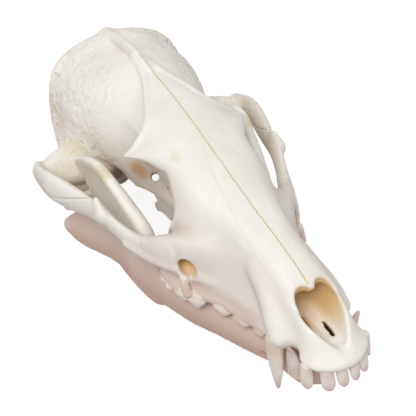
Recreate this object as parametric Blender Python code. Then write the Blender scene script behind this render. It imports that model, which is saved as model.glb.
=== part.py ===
# Raccoon dog skull with its jaws closed, life size, lying as it rests on a table.
#
# The bones are sculpted like clay: each is a block of distances to its surface, to which rounded
# forms are added and from which hollows are cut, and the block is then turned into a mesh. The teeth are
# low solids lofted from rings, and are joined to the bone that they grow from.
#
# The clay is worked in millimetres in the skull's own frame: x to the animal's left, y back from the
# front of the upper incisors' sockets, z up from the line of the upper tooth sockets.

import math
from collections import namedtuple

import bmesh
import bpy
import numpy as np
import openvdb
from mathutils import Matrix, Vector

MM = 0.001

# Driving dimensions, in millimetres
ARCH_HALF_WIDTH = 36.0
BRAINCASE_HALF_WIDTH = 22.0
INTERORBITAL_HALF_WIDTH = 11.6
JAW_GAP = 0.45
SUTURE_GAP = 0.32
SNOUT_BEND = 0.9
REST_TILT_DEG = 11.64
FLOOR_DEPTH = 29.4

# The grain of the clay, and the triangles that each bone keeps
CELL = 0.62
CRANIUM_TRIANGLES = 7600
JUGAL_TRIANGLES = 560
DENTARY_TRIANGLES = 2000

# Profiles along y: the roof of the skull in the middle, the half width of the muzzle at the sockets
# and at the nasal roof, and the half width between and behind the orbits
ROOF = ((-1, 0.9), (1.2, 2.5), (3, 3.8), (8, 8.8), (13.2, 13.2), (20, 16.8), (28, 19.8), (36, 22.6),
        (44, 25.8), (52, 29.2), (62, 33.2), (74, 37.2), (81, 38.9), (86, 40.2), (92, 41.6))
MUZZLE_BASE = ((0, 5.6), (4, 7.8), (7, 8.2), (10, 7.6), (14, 9.0), (18, 9.6), (22, 10.2), (28, 11.6),
               (34, 13.6), (40, 17.0), (46, 19.6), (51, 19.8), (55.5, 18.0), (59, 14.0))
MUZZLE_ROOF = ((1, 3.0), (8, 5.2), (13, 5.8), (22, 5.6), (32, 6.4), (40, 8.0), (48, 10.4), (55, 11.8))
FOREHEAD_RIM = ((36, 6.0), (42, 8.0), (48, 10.4), (57, INTERORBITAL_HALF_WIDTH), (63, 13.2), (67, 13.0),
                (71, 11.2), (80, 10.6))
TEMPORAL_LINE = ((66, 15.0), (67.8, 12.6), (69.4, 10.4), (72, 8.4), (75.3, 6.8), (79, 5.1), (83, 3.3),
                 (88, 2.0), (94, 1.5))
ORBIT_WALL = ((36, 8.0), (42, 9.6), (50, 9.4), (58, 8.2), (66, 8.0), (74, 9.4), (82, 12.0))
BRAINCASE_WIDTH = ((68, 8.0), (76, 10.4), (80, 12.8), (85, 15.8), (90, 18.0), (95, 19.6), (100, 21.0),
                   (106, BRAINCASE_HALF_WIDTH), (112, 21.8), (118, 19.5))
BRAINCASE_TOP = ((68, 33.0), (76, 35.4), (84, 37.8), (92, 39.6), (100, 40.4), (108, 40.6), (114, 40.0),
                 (119, 38.0))

Shape = namedtuple("Shape", "low high distance")
Tooth = namedtuple("Tooth", "name place turn lean root cusps")

# The teeth of one side. Each has its socket's place (x, y), the turn of its row from the y axis in
# degrees, how far its tip leans in x and y, the depth of its root, and its cusps: how far forward and
# outward each lies, its half length and half width, and its height
UPPER_TEETH = (
    Tooth("incisor_1", (1.65, 1.6), 80, (0.0, -1.7), 1.6, ((0, 0, 1.4, 1.2, 5.5),)),
    Tooth("incisor_2", (4.7, 2.7), 66, (0.3, -1.8), 1.6, ((0, 0, 1.6, 1.3, 5.7),)),
    Tooth("incisor_3", (7.9, 5.6), 44, (0.7, -1.5), 1.6, ((0, 0, 1.4, 1.4, 5.6),)),
    Tooth("canine", (9.3, 15.0), 12, (1.6, -2.8), 3.5, ((0, 0, 2.3, 1.7, 12.0),)),
    Tooth("premolar_1", (9.3, 20.6), 10, (0.0, -0.2), 2.0, ((0, 0, 1.6, 1.0, 2.6),)),
    Tooth("premolar_2", (10.4, 26.2), 16, (0.0, -0.3), 2.0, ((0, 0, 2.7, 1.15, 3.4),)),
    Tooth("premolar_3", (12.2, 32.6), 20, (0.0, -0.3), 2.0, ((0, 0, 3.1, 1.3, 3.8),)),
    Tooth("carnassial", (16.2, 41.0), 24, (0.0, -0.2), 2.0,
          ((1.6, 0.2, 3.0, 1.7, 4.7), (-2.6, 0.3, 2.9, 1.5, 3.8), (2.9, -2.6, 1.6, 1.7, 2.6))),
    Tooth("molar_1", (17.0, 49.2), 4, (0.0, 0.0), 2.0,
          ((1.7, 1.6, 2.0, 1.8, 3.3), (-1.6, 1.4, 1.8, 1.7, 2.9), (0.2, -2.4, 2.5, 2.6, 1.7))),
    Tooth("molar_2", (14.2, 53.7), -8, (0.0, 0.0), 2.0,
          ((0.6, 1.4, 1.6, 1.5, 1.8), (-0.2, -1.0, 1.7, 1.9, 1.3))),
)
LOWER_TEETH = (
    Tooth("incisor_1", (1.25, 7.6), 80, (0.0, -1.6), 1.3, ((0, 0, 0.85, 1.1, 3.6),)),
    Tooth("incisor_2", (3.0, 8.0), 70, (0.2, -1.6), 1.3, ((0, 0, 0.95, 1.2, 3.8),)),
    Tooth("incisor_3", (4.7, 8.8), 52, (0.5, -1.3), 1.3, ((0, 0, 1.1, 1.2, 3.8),)),
    Tooth("canine", (7.0, 10.5), 20, (2.7, -1.3), 3.5, ((0, 0, 2.0, 1.5, 10.4),)),
    Tooth("premolar_1", (7.0, 17.6), 12, (0.0, -0.2), 2.0, ((0, 0, 1.3, 0.9, 1.8),)),
    Tooth("premolar_2", (7.8, 23.0), 14, (0.0, -0.3), 2.0, ((0, 0, 2.3, 1.0, 3.0),)),
    Tooth("premolar_3", (9.5, 29.0), 18, (0.0, -0.3), 2.0, ((0, 0, 2.6, 1.1, 3.4),)),
    Tooth("premolar_4", (10.9, 36.0), 18, (0.0, -0.3), 2.0, ((0, 0, 2.9, 1.2, 3.1),)),
    Tooth("carnassial", (12.5, 44.0), 16, (0.0, 0.0), 2.0,
          ((2.4, 0.3, 2.4, 1.3, 3.3), (-0.4, -0.1, 2.3, 1.6, 3.0), (-3.8, -0.2, 2.5, 1.8, 1.5))),
    Tooth("molar_2", (15.2, 52.4), 12, (0.0, 0.0), 2.0,
          ((1.3, 0.0, 1.8, 1.6, 1.3), (-1.4, -0.1, 1.8, 1.5, 1.2))),
    Tooth("molar_3", (16.4, 56.8), 10, (0.0, 0.0), 2.0, ((0.0, 0.0, 1.4, 1.3, 1.0),)),
)
UPPER_SOCKETS = ((0, 0.2), (14, -0.2), (56, -0.4))
LOWER_SOCKETS = ((6, -7.2), (12, -6.4), (20, -5.2), (35, -4.6), (48, -4.2), (58, -3.6))


def along(stations):
    """A smooth curve through a few (place, value) stations, level beyond its ends."""
    place, value = np.array(stations, dtype=float).T
    step = np.diff(place)
    slope = np.diff(value) / step
    tangent = np.zeros_like(value)
    tangent[0], tangent[-1] = slope[0], slope[-1]
    for i in range(1, len(slope)):
        if slope[i - 1] * slope[i] > 0:
            tangent[i] = 2.0 / (1.0 / slope[i - 1] + 1.0 / slope[i])

    def read(where):
        where = np.clip(where, place[0], place[-1])
        i = np.clip(np.searchsorted(place, where) - 1, 0, len(step) - 1)
        t = (where - place[i]) / step[i]
        start = (1 + 2 * t) * (1 - t) ** 2 * value[i] + t * (1 - t) ** 2 * step[i] * tangent[i]
        end = t * t * (3 - 2 * t) * value[i + 1] + t * t * (t - 1) * step[i] * tangent[i + 1]
        return start + end

    return read


def smooth_path(points, steps=5, closed=False):
    """Extra points on a smooth curve through the given ones; any number of values a point."""
    points = np.array(points, dtype=float)
    count = len(points)
    spans = count if closed else count - 1
    path = []
    for i in range(spans):
        if closed:
            before, start, end, after = (points[(i + k) % count] for k in (-1, 0, 1, 2))
        else:
            start, end = points[i], points[i + 1]
            before = points[i - 1] if i else 2 * start - end
            after = points[i + 2] if i + 2 < count else 2 * end - start
        for t in np.arange(steps) / steps:
            path.append(0.5 * (2 * start + (end - before) * t
                               + (2 * before - 5 * start + 4 * end - after) * t ** 2
                               + (3 * start - before - 3 * end + after) * t ** 3))
    if not closed:
        path.append(points[-1])
    return np.array(path)


def smooth_max(a, b, width):
    """The greater of two distances, with the corner between them rounded over a width."""
    h = np.clip(0.5 + 0.5 * (a - b) / width, 0, 1)
    return b * (1 - h) + a * h + width * h * (1 - h)


def ease(value, start, end):
    """0 before start, 1 after end, and a smooth step between them."""
    t = np.clip((value - start) / (end - start), 0, 1)
    return t * t * (3 - 2 * t)


class Clay:
    """A block of clay: the distance to its surface, in millimetres, on a regular grid."""

    FAR = 3.0

    def __init__(self, low, high, cell):
        self.cell = cell
        self.axes = [np.arange(a, b + cell, cell) for a, b in zip(low, high)]
        self.field = np.full([len(axis) for axis in self.axes], self.FAR)

    def part_of(self, shape, margin):
        """The slice of the block round a shape, and the coordinates in it."""
        slices = []
        for axis, low, high in zip(self.axes, shape.low, shape.high):
            first, last = np.searchsorted(axis, (low - margin, high + margin))
            slices.append(slice(max(first, 0), max(last, 0)))
        x, y, z = (axis[s] for axis, s in zip(self.axes, slices))
        return tuple(slices), x[:, None, None], y[None, :, None], z[None, None, :]

    def add(self, shape, blend=1.0):
        """Press a shape on, with the clay drawn into a fillet round it."""
        slices, x, y, z = self.part_of(shape, blend + self.FAR)
        self.field[slices] = -smooth_max(-self.field[slices], -shape.distance(x, y, z), blend)

    def cut(self, shape, blend=0.6):
        """Take a shape away, with the edge of the hollow rounded."""
        slices, x, y, z = self.part_of(shape, blend + self.FAR)
        self.field[slices] = smooth_max(self.field[slices], -shape.distance(x, y, z), blend)

    def keep(self, shape, blend=0.3):
        """Keep only what lies inside a shape."""
        x, y, z = self.axes
        distance = shape.distance(x[:, None, None], y[None, :, None], z[None, None, :])
        self.field = smooth_max(self.field, distance, blend)

    def copy(self):
        """The same block again."""
        twin = Clay((0, 0, 0), (0, 0, 0), self.cell)
        twin.axes = self.axes
        twin.field = self.field.copy()
        return twin

    def mirrored(self):
        """The whole block of a bone of which this one, starting at x = 0, is the left half."""
        whole = Clay((0, 0, 0), (0, 0, 0), self.cell)
        whole.axes = [np.concatenate((-self.axes[0][:0:-1], self.axes[0]))] + self.axes[1:]
        whole.field = np.concatenate((self.field[:0:-1], self.field))
        return whole

    def mesh(self, name):
        """The surface of the clay as a mesh, in metres."""
        grid = openvdb.FloatGrid(self.FAR)
        inside = np.clip(self.field, -self.FAR, self.FAR).astype(np.float32)
        grid.copyFromArray(inside, tolerance=0.0)
        points, quads = grid.convertToQuads(0.0)
        origin = np.array([axis[0] for axis in self.axes])
        mesh = bpy.data.meshes.new(name)
        mesh.from_pydata((points * self.cell + origin) * MM, [], quads)
        mesh.validate()
        return mesh


def ball(centre, radii, turn=(0, 0, 0)):
    """An ellipsoid, turned by angles in degrees about x, y and z."""
    turned = Matrix.Identity(3)
    for angle, axis in zip(turn, "XYZ"):
        turned = Matrix.Rotation(math.radians(angle), 3, axis) @ turned
    rows = np.array(turned.transposed())
    reach = max(radii) if any(turn) else np.array(radii)

    def distance(x, y, z):
        right, back, up = x - centre[0], y - centre[1], z - centre[2]
        local = [row[0] * right + row[1] * back + row[2] * up for row in rows]
        size = np.sqrt(sum((v / r) ** 2 for v, r in zip(local, radii)))
        pull = np.sqrt(sum((v / r ** 2) ** 2 for v, r in zip(local, radii)))
        return size * (size - 1) / np.maximum(pull, 1e-6)

    return Shape(np.array(centre) - reach, np.array(centre) + reach, distance)


def rod(points, thin=1.0, across=(1, 0, 0), steps=5):
    """A smooth bar through (x, y, z, radius) points, squeezed to thin times its radius across."""
    path = smooth_path(points, steps)
    reach = path[:, 3].max()
    across = np.array(Vector(across).normalized())

    def distance(x, y, z):
        best = None
        for start, end in zip(path[:-1], path[1:]):
            step = end[:3] - start[:3]
            offset = (x - start[0], y - start[1], z - start[2])
            t = np.clip(sum(v * s for v, s in zip(offset, step)) / max(step @ step, 1e-9), 0, 1)
            offset = [v - t * s for v, s in zip(offset, step)]
            side = sum(v * a for v, a in zip(offset, across)) * (1.0 / thin - 1.0)
            length = np.sqrt(sum((v + side * a) ** 2 for v, a in zip(offset, across)))
            here = (length - start[3] - t * (end[3] - start[3])) * math.sqrt(thin)
            best = here if best is None else np.minimum(best, here)
        return best

    return Shape(path[:, :3].min(axis=0) - reach, path[:, :3].max(axis=0) + reach, distance)


def column(ends, side, top, bottom, camber=0.0, corner=2.5, heel=1.5, nose=0.0):
    """A long body between two places on y: half width side(y, z), a roof that falls to the sides by
    camber times x squared, a floor, and a front that falls back by nose times x squared."""
    reach = np.array((40.0, ends[1], 60.0))

    def distance(x, y, z):
        wall = smooth_max(np.abs(x) - side(y, z), z - top(y) + camber * x ** 2, corner)
        wall = smooth_max(wall, bottom(y) - z, heel)
        wall = smooth_max(wall, ends[0] + nose * x ** 2 - y, heel)
        return smooth_max(wall, y - ends[1], heel)

    return Shape(np.array((-reach[0], ends[0], -30.0)), reach, distance)


def plate(outline, middle, thickness, edge=0.8):
    """A thin wall with an outline in (y, z), lying at x = middle(y, z), with rounded edges."""
    corners = smooth_path(outline, 4, closed=True)

    def distance(x, y, z):
        flat_y, flat_z = np.broadcast_arrays(y[0], z[0])
        nearest = np.full(flat_y.shape, 1e9)
        inside = np.zeros(flat_y.shape, dtype=bool)
        for (y0, z0), (y1, z1) in zip(corners, np.roll(corners, -1, axis=0)):
            dy, dz = y1 - y0, z1 - z0
            t = np.clip(((flat_y - y0) * dy + (flat_z - z0) * dz) / max(dy * dy + dz * dz, 1e-9), 0, 1)
            nearest = np.minimum(nearest, np.hypot(flat_y - y0 - t * dy, flat_z - z0 - t * dz))
            crosses = (z0 > flat_z) != (z1 > flat_z)
            inside ^= crosses & (flat_y < y0 + dy * (flat_z - z0) / (dz if dz else 1e-9))
        rim = np.where(inside, -nearest, nearest)[None] + edge
        face = np.abs(x - middle(y, z)) - thickness(y, z) + edge
        outer = np.hypot(np.maximum(rim, 0), np.maximum(face, 0))
        return outer + np.minimum(np.maximum(rim, face), 0) - edge

    low = corners.min(axis=0)
    high = corners.max(axis=0)
    return Shape(np.array((0.0, *low)), np.array((40.0, *high)), distance)


def half_space(point, normal):
    """Everything behind a plane, which faces along its normal."""
    normal = np.array(Vector(normal).normalized())

    def distance(x, y, z):
        return (x - point[0]) * normal[0] + (y - point[1]) * normal[1] + (z - point[2]) * normal[2]

    return Shape(np.full(3, -200.0), np.full(3, 200.0), distance)


def table_top():
    """Everything above the table, in the skull's own frame."""
    tilt = math.radians(REST_TILT_DEG)
    up = (0.0, -math.sin(tilt), math.cos(tilt))
    point = [-FLOOR_DEPTH * v for v in up]
    return half_space(point, [-v for v in up])


def sculpt_face(clay):
    """The muzzle and the forehead in one body: the nasals, premaxillae, maxillae and frontals, back to the
    narrow waist behind the postorbital processes, where the temporal lines bound the forehead."""
    base, roof, top = along(MUZZLE_BASE), along(MUZZLE_ROOF), along(ROOF)
    rim, wall, line = along(FOREHEAD_RIM), along(ORBIT_WALL), along(TEMPORAL_LINE)
    floor = along(((-1, -0.2), (8, -0.6), (16, -0.7), (24, -1.3), (46, -1.4), (54, -0.5), (59, 3.0),
                   (64, 8.0), (84, 8.0)))

    def side(y, z):
        height = np.clip((z - 1.0) / np.maximum(top(y) - 1.0, 2.0), 0, 1)
        muzzle = base(y) + (roof(y) - base(y)) * height ** 0.8
        forehead = wall(y) + (rim(y) - wall(y)) * ease(z, 14.0, 27.0)
        share = ease(y, 51.0, 59.0)
        whole = muzzle * (1 - share) + forehead * share
        shoulder = ease(z, top(y) - 9.0, top(y) - 0.8) * ease(y, 65.0, 70.0)
        return whole * (1 - shoulder) + line(y) * shoulder

    clay.add(column((-0.6, 94.0), side, top, floor, camber=0.022, corner=3.2, heel=1.4, nose=0.06), 1.0)


def sculpt_swellings(clay):
    """The swelling over each canine's root, the cheek below the orbit and the postorbital process."""
    clay.add(rod(((8.9, 14.2, 2.2, 1.9), (8.2, 16.4, 5.4, 2.1), (7.2, 20.0, 9.4, 1.8),
                  (6.0, 25.0, 13.0, 1.4))), 3.0)
    clay.add(rod(((12.6, 40.0, 9.6, 4.0), (16.4, 45.6, 9.8, 4.4), (19.8, 51.0, 9.0, 3.4),
                  (22.6, 57.0, 9.2, 1.6)), thin=0.42, across=(0.85, -0.53, 0)), 5.0)
    clay.add(rod(((7.6, 60.0, 27.6, 4.6), (12.4, 64.2, 28.4, 3.2), (17.0, 68.0, 27.4, 1.1)),
                 thin=0.45, across=(0.3, 0.1, 1)), 2.4)


def sculpt_braincase(clay):
    """The egg of the braincase, widest far back, and the base of the skull below it."""
    width, top = along(BRAINCASE_WIDTH), along(BRAINCASE_TOP)

    def distance(x, y, z):
        middle = (top(y) + 6.0) / 2
        height = (top(y) - 6.0) / 2
        size = (np.abs(x / width(y)) ** 2.05 + np.abs((z - middle) / height) ** 2.05) ** (1 / 2.05)
        egg = smooth_max((size - 1) * 0.9 * np.minimum(width(y), height), y - 118.0, 5.0)
        return smooth_max(egg, 74.0 - y, 6.0)

    clay.add(Shape(np.array((0, 66.0, -2.0)), np.array((23.0, 119.0, 43.0)), distance), 3.0)
    clay.add(ball((14.5, 104.0, 14.0), (9.0, 11.0, 8.5)), 4.0)
    clay.add(rod(((0, 76.0, 12.0, 3.4), (0, 92.0, 11.0, 4.6), (0, 112.0, 9.4, 5.5))), 4.0)


def sculpt_crests(clay):
    """The sagittal crest, the temporal lines that run into it, and the nuchal crest."""
    clay.add(rod(((0, 86.0, 39.2, 1.2), (0, 92.0, 40.6, 1.6), (0, 98.0, 41.6, 1.9), (0, 108.0, 42.2, 1.9),
                  (0, 116.6, 40.4, 2.2)), thin=0.6), 1.8)
    clay.add(rod(((16.2, 67.6, 28.0, 0.6), (12.9, 67.8, 30.8, 0.7), (10.2, 69.3, 32.8, 0.7),
                  (8.2, 72.0, 34.4, 0.7), (6.6, 75.3, 36.0, 0.7), (4.9, 79.0, 37.5, 0.7),
                  (3.1, 83.0, 38.9, 0.7), (1.8, 88.0, 40.1, 0.7),
                  (0.6, 94.0, 41.0, 0.7))), 1.2)
    clay.add(rod(((0, 115.6, 37.2, 4.0), (6.0, 115.4, 36.4, 4.0), (11.4, 115.0, 34.0, 4.0),
                  (14.8, 114.4, 30.4, 3.6), (16.6, 113.4, 26.0, 3.0), (18.0, 112.0, 21.0, 2.4))), 4.0)
    clay.add(rod(((0, 118.0, 38.6, 2.6), (6.2, 118.0, 37.4, 2.6), (12.2, 117.6, 36.2, 2.6),
                  (16.9, 117.0, 33.6, 2.6),
                  (18.9, 116.0, 28.4, 2.6), (20.4, 114.2, 22.6, 2.6), (21.6, 111.6, 17.0, 2.5),
                  (22.4, 107.0, 13.6, 2.4)), thin=0.34, across=(0.25, 1, 0.15)), 3.6)


def sculpt_occiput(clay):
    """The back of the head below the nuchal crest, the condyles and the processes beside them."""
    clay.add(rod(((0, 112.5, 36.0, 4.0), (0, 112.5, 22.0, 5.5))), 3.0)
    clay.add(rod(((4.6, 117.0, 8.6, 3.0), (7.4, 117.2, 13.0, 3.6), (7.2, 115.2, 17.6, 2.6))), 1.6)
    clay.add(rod(((13.0, 110.0, 10.0, 3.0), (14.0, 110.0, 4.5, 2.0), (14.4, 110.4, 0.6, 1.1))), 2.0)
    clay.add(rod(((18.5, 105.0, 11.0, 3.4), (19.0, 106.0, 7.0, 2.0))), 2.0)


def sculpt_base(clay):
    """The bullae, the pterygoids on either side of the choanae, and the palate's rear edge."""
    pterygoid = ((56.0, 10.0), (56.0, 0.6), (66.0, 0.8), (75.0, 0.4), (79.0, -1.0), (80.0, 1.6), (77.0, 4.0),
                 (80.0, 10.0))
    clay.add(ball((11.8, 98.4, 8.2), (5.6, 8.6, 6.2), (0, 0, 14)), 1.2)
    clay.add(plate(pterygoid, lambda y, z: 6.2 + 0.02 * (y - 56.0), lambda y, z: 1.0 + 0.07 * (z + 1.0),
                   edge=0.6), 1.6)


def sculpt_arch(clay):
    """The zygomatic arch, from the maxilla below the orbit to the squamosal above the jaw joint."""
    half = ARCH_HALF_WIDTH
    clay.add(rod(((half - 17.6, 47.0, 8.6, 3.4), (half - 13.6, 55.0, 8.8, 3.2),
                  (half - 11.0, 61.0, 10.6, 3.1),
                  (half - 9.2, 66.0, 12.8, 3.4), (half - 6.9, 74.0, 13.5, 3.8), (half - 4.7, 80.0, 13.7, 4.5),
                  (half - 2.7, 86.0, 13.7, 4.7), (half - 1.5, 91.0, 13.3, 4.7), (half - 1.3, 95.0, 12.8, 4.5),
                  (half - 1.7, 98.6, 12.2, 4.2)), thin=0.32), 1.8)
    clay.add(rod(((half - 8.0, 65.6, 14.4, 2.4), (half - 8.4, 67.8, 17.2, 1.2)), thin=0.6), 1.8)
    clay.add(rod(((half - 2.4, 99.0, 13.6, 2.3), (half - 8.5, 101.0, 15.2, 2.6), (20.0, 102.0, 15.4, 4.0)),
                 thin=0.6, across=(0, 0, 1)), 2.4)
    clay.add(rod(((17.5, 95.0, 10.8, 3.4), (25.5, 95.6, 10.8, 3.2), (half - 4.0, 96.2, 10.8, 2.6)),
                 thin=0.8, across=(0, 0, 1)), 2.0)
    clay.add(rod(((18.0, 98.8, 12.8, 4.2), (26.0, 98.8, 12.4, 3.8), (half - 3.6, 98.4, 12.0, 3.0)),
                 thin=0.6, across=(0, 0, 1)), 2.0)
    clay.add(rod(((19.0, 96.0, 6.6, 1.7), (24.0, 96.0, 5.8, 1.9), (28.5, 95.6, 7.2, 1.9),
                  (32.4, 95.2, 10.0, 1.6)), thin=0.8), 1.6)
    clay.add(rod(((12.0, 36.0, 4.8, 1.2), (17.6, 44.0, 6.2, 1.2), (21.6, 51.0, 6.8, 1.1),
                  (24.8, 58.0, 8.2, 0.9))), 1.6)


def jugal_region(shrink):
    """The space that the jugal bone takes: behind its suture with the maxilla, below that with the
    squamosal. Each suture is drawn back from the middle of the joint by shrink."""
    half = ARCH_HALF_WIDTH
    front = half_space((half - 13.6, 53.0, 8.8), (-0.45, -1.0, 0.35)).distance
    above = half_space((half, 79.3, 14.2), (0.0, 0.36, 1.0)).distance
    behind = half_space((half, 71.6, 16.6), (0.0, -1.0, 0.45)).distance
    medial = half_space((half - 17.2, 60.0, 10.0), (-1.0, 0.25, 0.0)).distance

    def distance(x, y, z):
        squamosal = np.maximum(-above(x, y, z), behind(x, y, z))
        return np.maximum(np.maximum(front(x, y, z), medial(x, y, z)), -squamosal) + shrink

    return Shape(np.array((half - 22.2, 46.0, -5.0)), np.array((40.0, 104.0, 30.0)), distance)


def cut_nose(clay):
    """The nasal cavity, with a lobe on either side of the nasals' tip. Its floor runs out over the
    premaxillae as a shallow gutter."""
    roof = along(((1, 3.6), (4, 6.6), (8, 11.0), (11.8, 15.0), (13.9, 11.6), (20, 12.8)))
    wide = along(((0, 1.2), (3, 2.7), (5, 4.0), (7, 4.7), (9, 4.9), (11, 4.8), (13, 4.6), (20, 4.3)))
    floor = along(((-1, 3.2), (1.5, 2.8), (4, 2.9), (6, 2.8), (9, 2.5), (13, 3.0), (24, 5.0)))
    clay.cut(column((-2.0, 23.0), lambda y, z: wide(y) * (0.5 + 0.52 * ease(z, 2.0, 9.5)), roof, floor,
                    corner=2.4, heel=1.8), 1.3)
    clay.cut(ball((2.6, 13.1, 12.4), (1.9, 1.7, 2.4)), 0.7)


def cut_openings(clay):
    """The openings that lead into the bone, and the hollows where the jaw's muscles lay."""
    clay.cut(rod(((18.6, 35.0, 5.6, 2.3), (16.0, 41.6, 7.2, 2.3), (15.4, 46.0, 9.0, 1.9),
                  (16.6, 51.0, 12.0, 1.8)), thin=0.8), 0.6)
    clay.cut(rod(((25.6, 58.0, 2.4, 2.6), (22.4, 51.0, 2.5, 2.5), (20.2, 45.0, 2.4, 2.2),
                  (16.1, 37.0, 2.2, 1.6),
                  (12.9, 29.0, 1.9, 1.3), (11.2, 22.0, 1.6, 1.0))), 1.0)
    clay.add(rod(((17.4, 41.6, 4.4, 1.0), (17.4, 40.6, 0.4, 1.3))), 1.0)
    clay.cut(rod(((7.6, 10.4, -4.0, 2.4), (10.1, 9.2, 4.6, 1.5))), 1.0)
    clay.cut(ball((0.0, 76.0, 3.6), (5.0, 20.0, 4.4)), 1.0)
    clay.cut(rod(((10.6, 67.8, 18.2, 1.2), (3.4, 86.8, 5.2, 1.2)), steps=1), 0.4)
    clay.cut(ball((0.0, 119.0, 15.5), (6.2, 7.0, 5.8)), 1.0)
    clay.cut(rod(((25.0, 100.4, 8.0, 2.0), (16.0, 99.6, 8.4, 1.6))), 0.8)


def cut_orbit(clay):
    """The orbit, which opens behind into the temporal fossa."""
    clay.cut(ball((20.4, 60.4, 18.4), (10.8, 11.8, 9.2), (0, 0, -16)), 1.4)


def sculpt_palate(clay):
    """The vault of the palate between the tooth rows, and the pits behind the carnassials."""
    width = along(((6, 3.5), (14, 5.8), (30, 7.2), (44, 11.0), (52, 10.5), (58, 9.0)))
    vault = along(((5, -0.8), (14, 0.0), (24, 1.0), (58, 2.2)))
    below = along(((5, -9.0), (58, -9.0)))
    clay.cut(column((5.0, 60.0), lambda y, z: width(y) - 1.2 * z, vault, below, corner=1.5), 1.0)


def sculpt_cranium(cell):
    """The left half of the cranium with its whole arch, before the jugal is parted from it."""
    clay = Clay((0.0, -3.0, -6.0), (39.0, 124.0, 47.0), cell)
    sculpt_face(clay)
    sculpt_swellings(clay)
    cut_orbit(clay)
    sculpt_palate(clay)
    sculpt_braincase(clay)
    sculpt_crests(clay)
    sculpt_occiput(clay)
    sculpt_base(clay)
    sculpt_arch(clay)
    cut_nose(clay)
    cut_openings(clay)
    return clay


def jaw_joint(swell):
    """The condyle of the lower jaw, which is a bar across, swollen by some millimetres."""
    return rod(((19.0, 90.8, 4.0, 1.7 + swell), (25.0, 90.2, 4.6, 2.1 + swell),
                (30.6, 89.4, 5.2, 1.5 + swell)))


def sculpt_dentary(cell):
    """The left half of the lower jaw."""
    clay = Clay((-1.0, -1.0, -22.0), (35.0, 104.0, 30.0), cell)
    clay.add(rod(((2.9, 8.4, -8.8, 2.0), (4.2, 12.5, -9.2, 2.9), (6.0, 20.0, -8.9, 4.0),
                  (8.2, 28.0, -9.2, 4.8),
                  (11.4, 38.0, -9.6, 5.3), (14.8, 48.0, -10.0, 5.9),
                  (17.4, 58.0, -9.9, 6.2), (19.2, 66.0, -9.6, 6.7)), thin=0.48), 1.5)
    clay.add(rod(((2.9, 8.2, -8.2, 2.1), (5.0, 10.6, -8.4, 2.9), (5.6, 17.0, -8.6, 3.0)), thin=0.85), 1.5)

    clay.add(rod(((2.2, 9.4, -8.4, 2.2), (2.6, 14.0, -8.8, 2.6), (3.4, 19.0, -9.0, 2.2)), thin=0.9), 1.5)

    def middle(y, z):
        flare = 0.30 * np.maximum(y - 77.0, 0) * ease(-z, -4.0, 8.0)
        return 18.3 + 0.16 * (y - 59.0) + 0.10 * np.maximum(z - 5.0, 0) + flare

    def thickness(y, z):
        return 2.0 - 1.1 * ease(z, -4.0, 16.0) - 0.3 * ease(y, 84.0, 96.0)

    ramus = ((57.0, -15.2), (66.0, -16.6), (72.0, -15.8), (79.0, -12.6), (86.0, -11.9), (92.0, -11.8),
             (97.0, -8.6), (98.4, -5.4), (96.6, -2.8), (92.0, 0.6), (88.0, 4.0), (86.6, 8.0), (88.6, 12.6),
             (92.0, 16.4), (90.0, 19.0), (83.0, 22.0), (78.0, 22.8), (74.0, 22.0), (70.6, 19.0), (66.6, 15.8),
             (61.0, 11.6), (59.0, 7.6), (59.0, 3.0), (57.0, -4.0))
    clay.add(plate(ramus, middle, thickness, edge=0.8), 2.0)
    clay.add(rod(((17.8, 56.4, -5.5, 2.0), (18.6, 59.6, 2.0, 2.1), (18.9, 60.6, 8.0, 2.0),
                  (20.0, 65.2, 12.9, 1.9),
                  (21.3, 70.8, 17.4, 1.6), (22.6, 76.0, 21.0, 1.2), (23.6, 83.0, 20.6, 0.9))), 1.6)
    clay.add(jaw_joint(0.0), 1.6)
    clay.add(rod(((24.8, 91.0, 4.2, 1.7), (23.8, 88.5, -1.0, 1.7), (21.6, 82.0, -7.0, 1.4))), 2.0)
    clay.cut(half_space((JAW_GAP / 2, 0, 0), (1, 0, 0)), 0.3)
    clay.keep(table_top(), 0.2)
    return clay


def cut_for_jaw(clay):
    """Keep the cranium clear of the condyle that turns in it."""
    clay.cut(jaw_joint(JAW_GAP + 0.2), 0.4)


def cone(place, turn, half_length, half_width, height, lean, root, sides, edge):
    """One cusp, or a one-cusped tooth: a low solid that rises from a root sunk in the bone to its tip, which
    is edge times as long as the neck. The height is negative for a tooth that points down."""
    sign = math.copysign(1.0, height)
    tall = abs(height)
    middle = 0.5 + edge / 2
    rings = ((-root, 0.72, 0.72, -root / tall), (0.0, 1.0, 1.0, 0.0), (0.5 * tall, middle + 0.18, 0.82, 0.40),
             (0.96 * tall, edge, 0.3, 1.0))
    shape = bmesh.new()
    along_row = Vector((math.sin(turn), math.cos(turn), 0.0))
    across_row = Vector((math.cos(turn), -math.sin(turn), 0.0))
    loops = []
    for rise, long, wide, share in rings:
        centre = Vector(place) + Vector((lean[0] * share, lean[1] * share, sign * rise))
        loop = []
        for i in range(sides):
            angle = 2 * math.pi * i / sides
            corner = (centre + along_row * (half_length * long * math.cos(angle))
                      + across_row * (half_width * wide * math.sin(angle)))
            loop.append(shape.verts.new(corner * MM))
        loops.append(loop)
    for lower, upper in zip(loops[:-1], loops[1:]):
        for i in range(sides):
            k = (i + 1) % sides
            shape.faces.new((lower[i], lower[k], upper[k], upper[i]))
    shape.faces.new(loops[0])
    shape.faces.new(loops[-1])
    bmesh.ops.triangulate(shape, faces=shape.faces)
    bmesh.ops.recalc_face_normals(shape, faces=shape.faces)
    mesh = bpy.data.meshes.new("tooth")
    shape.to_mesh(mesh)
    shape.free()
    return mesh


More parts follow.
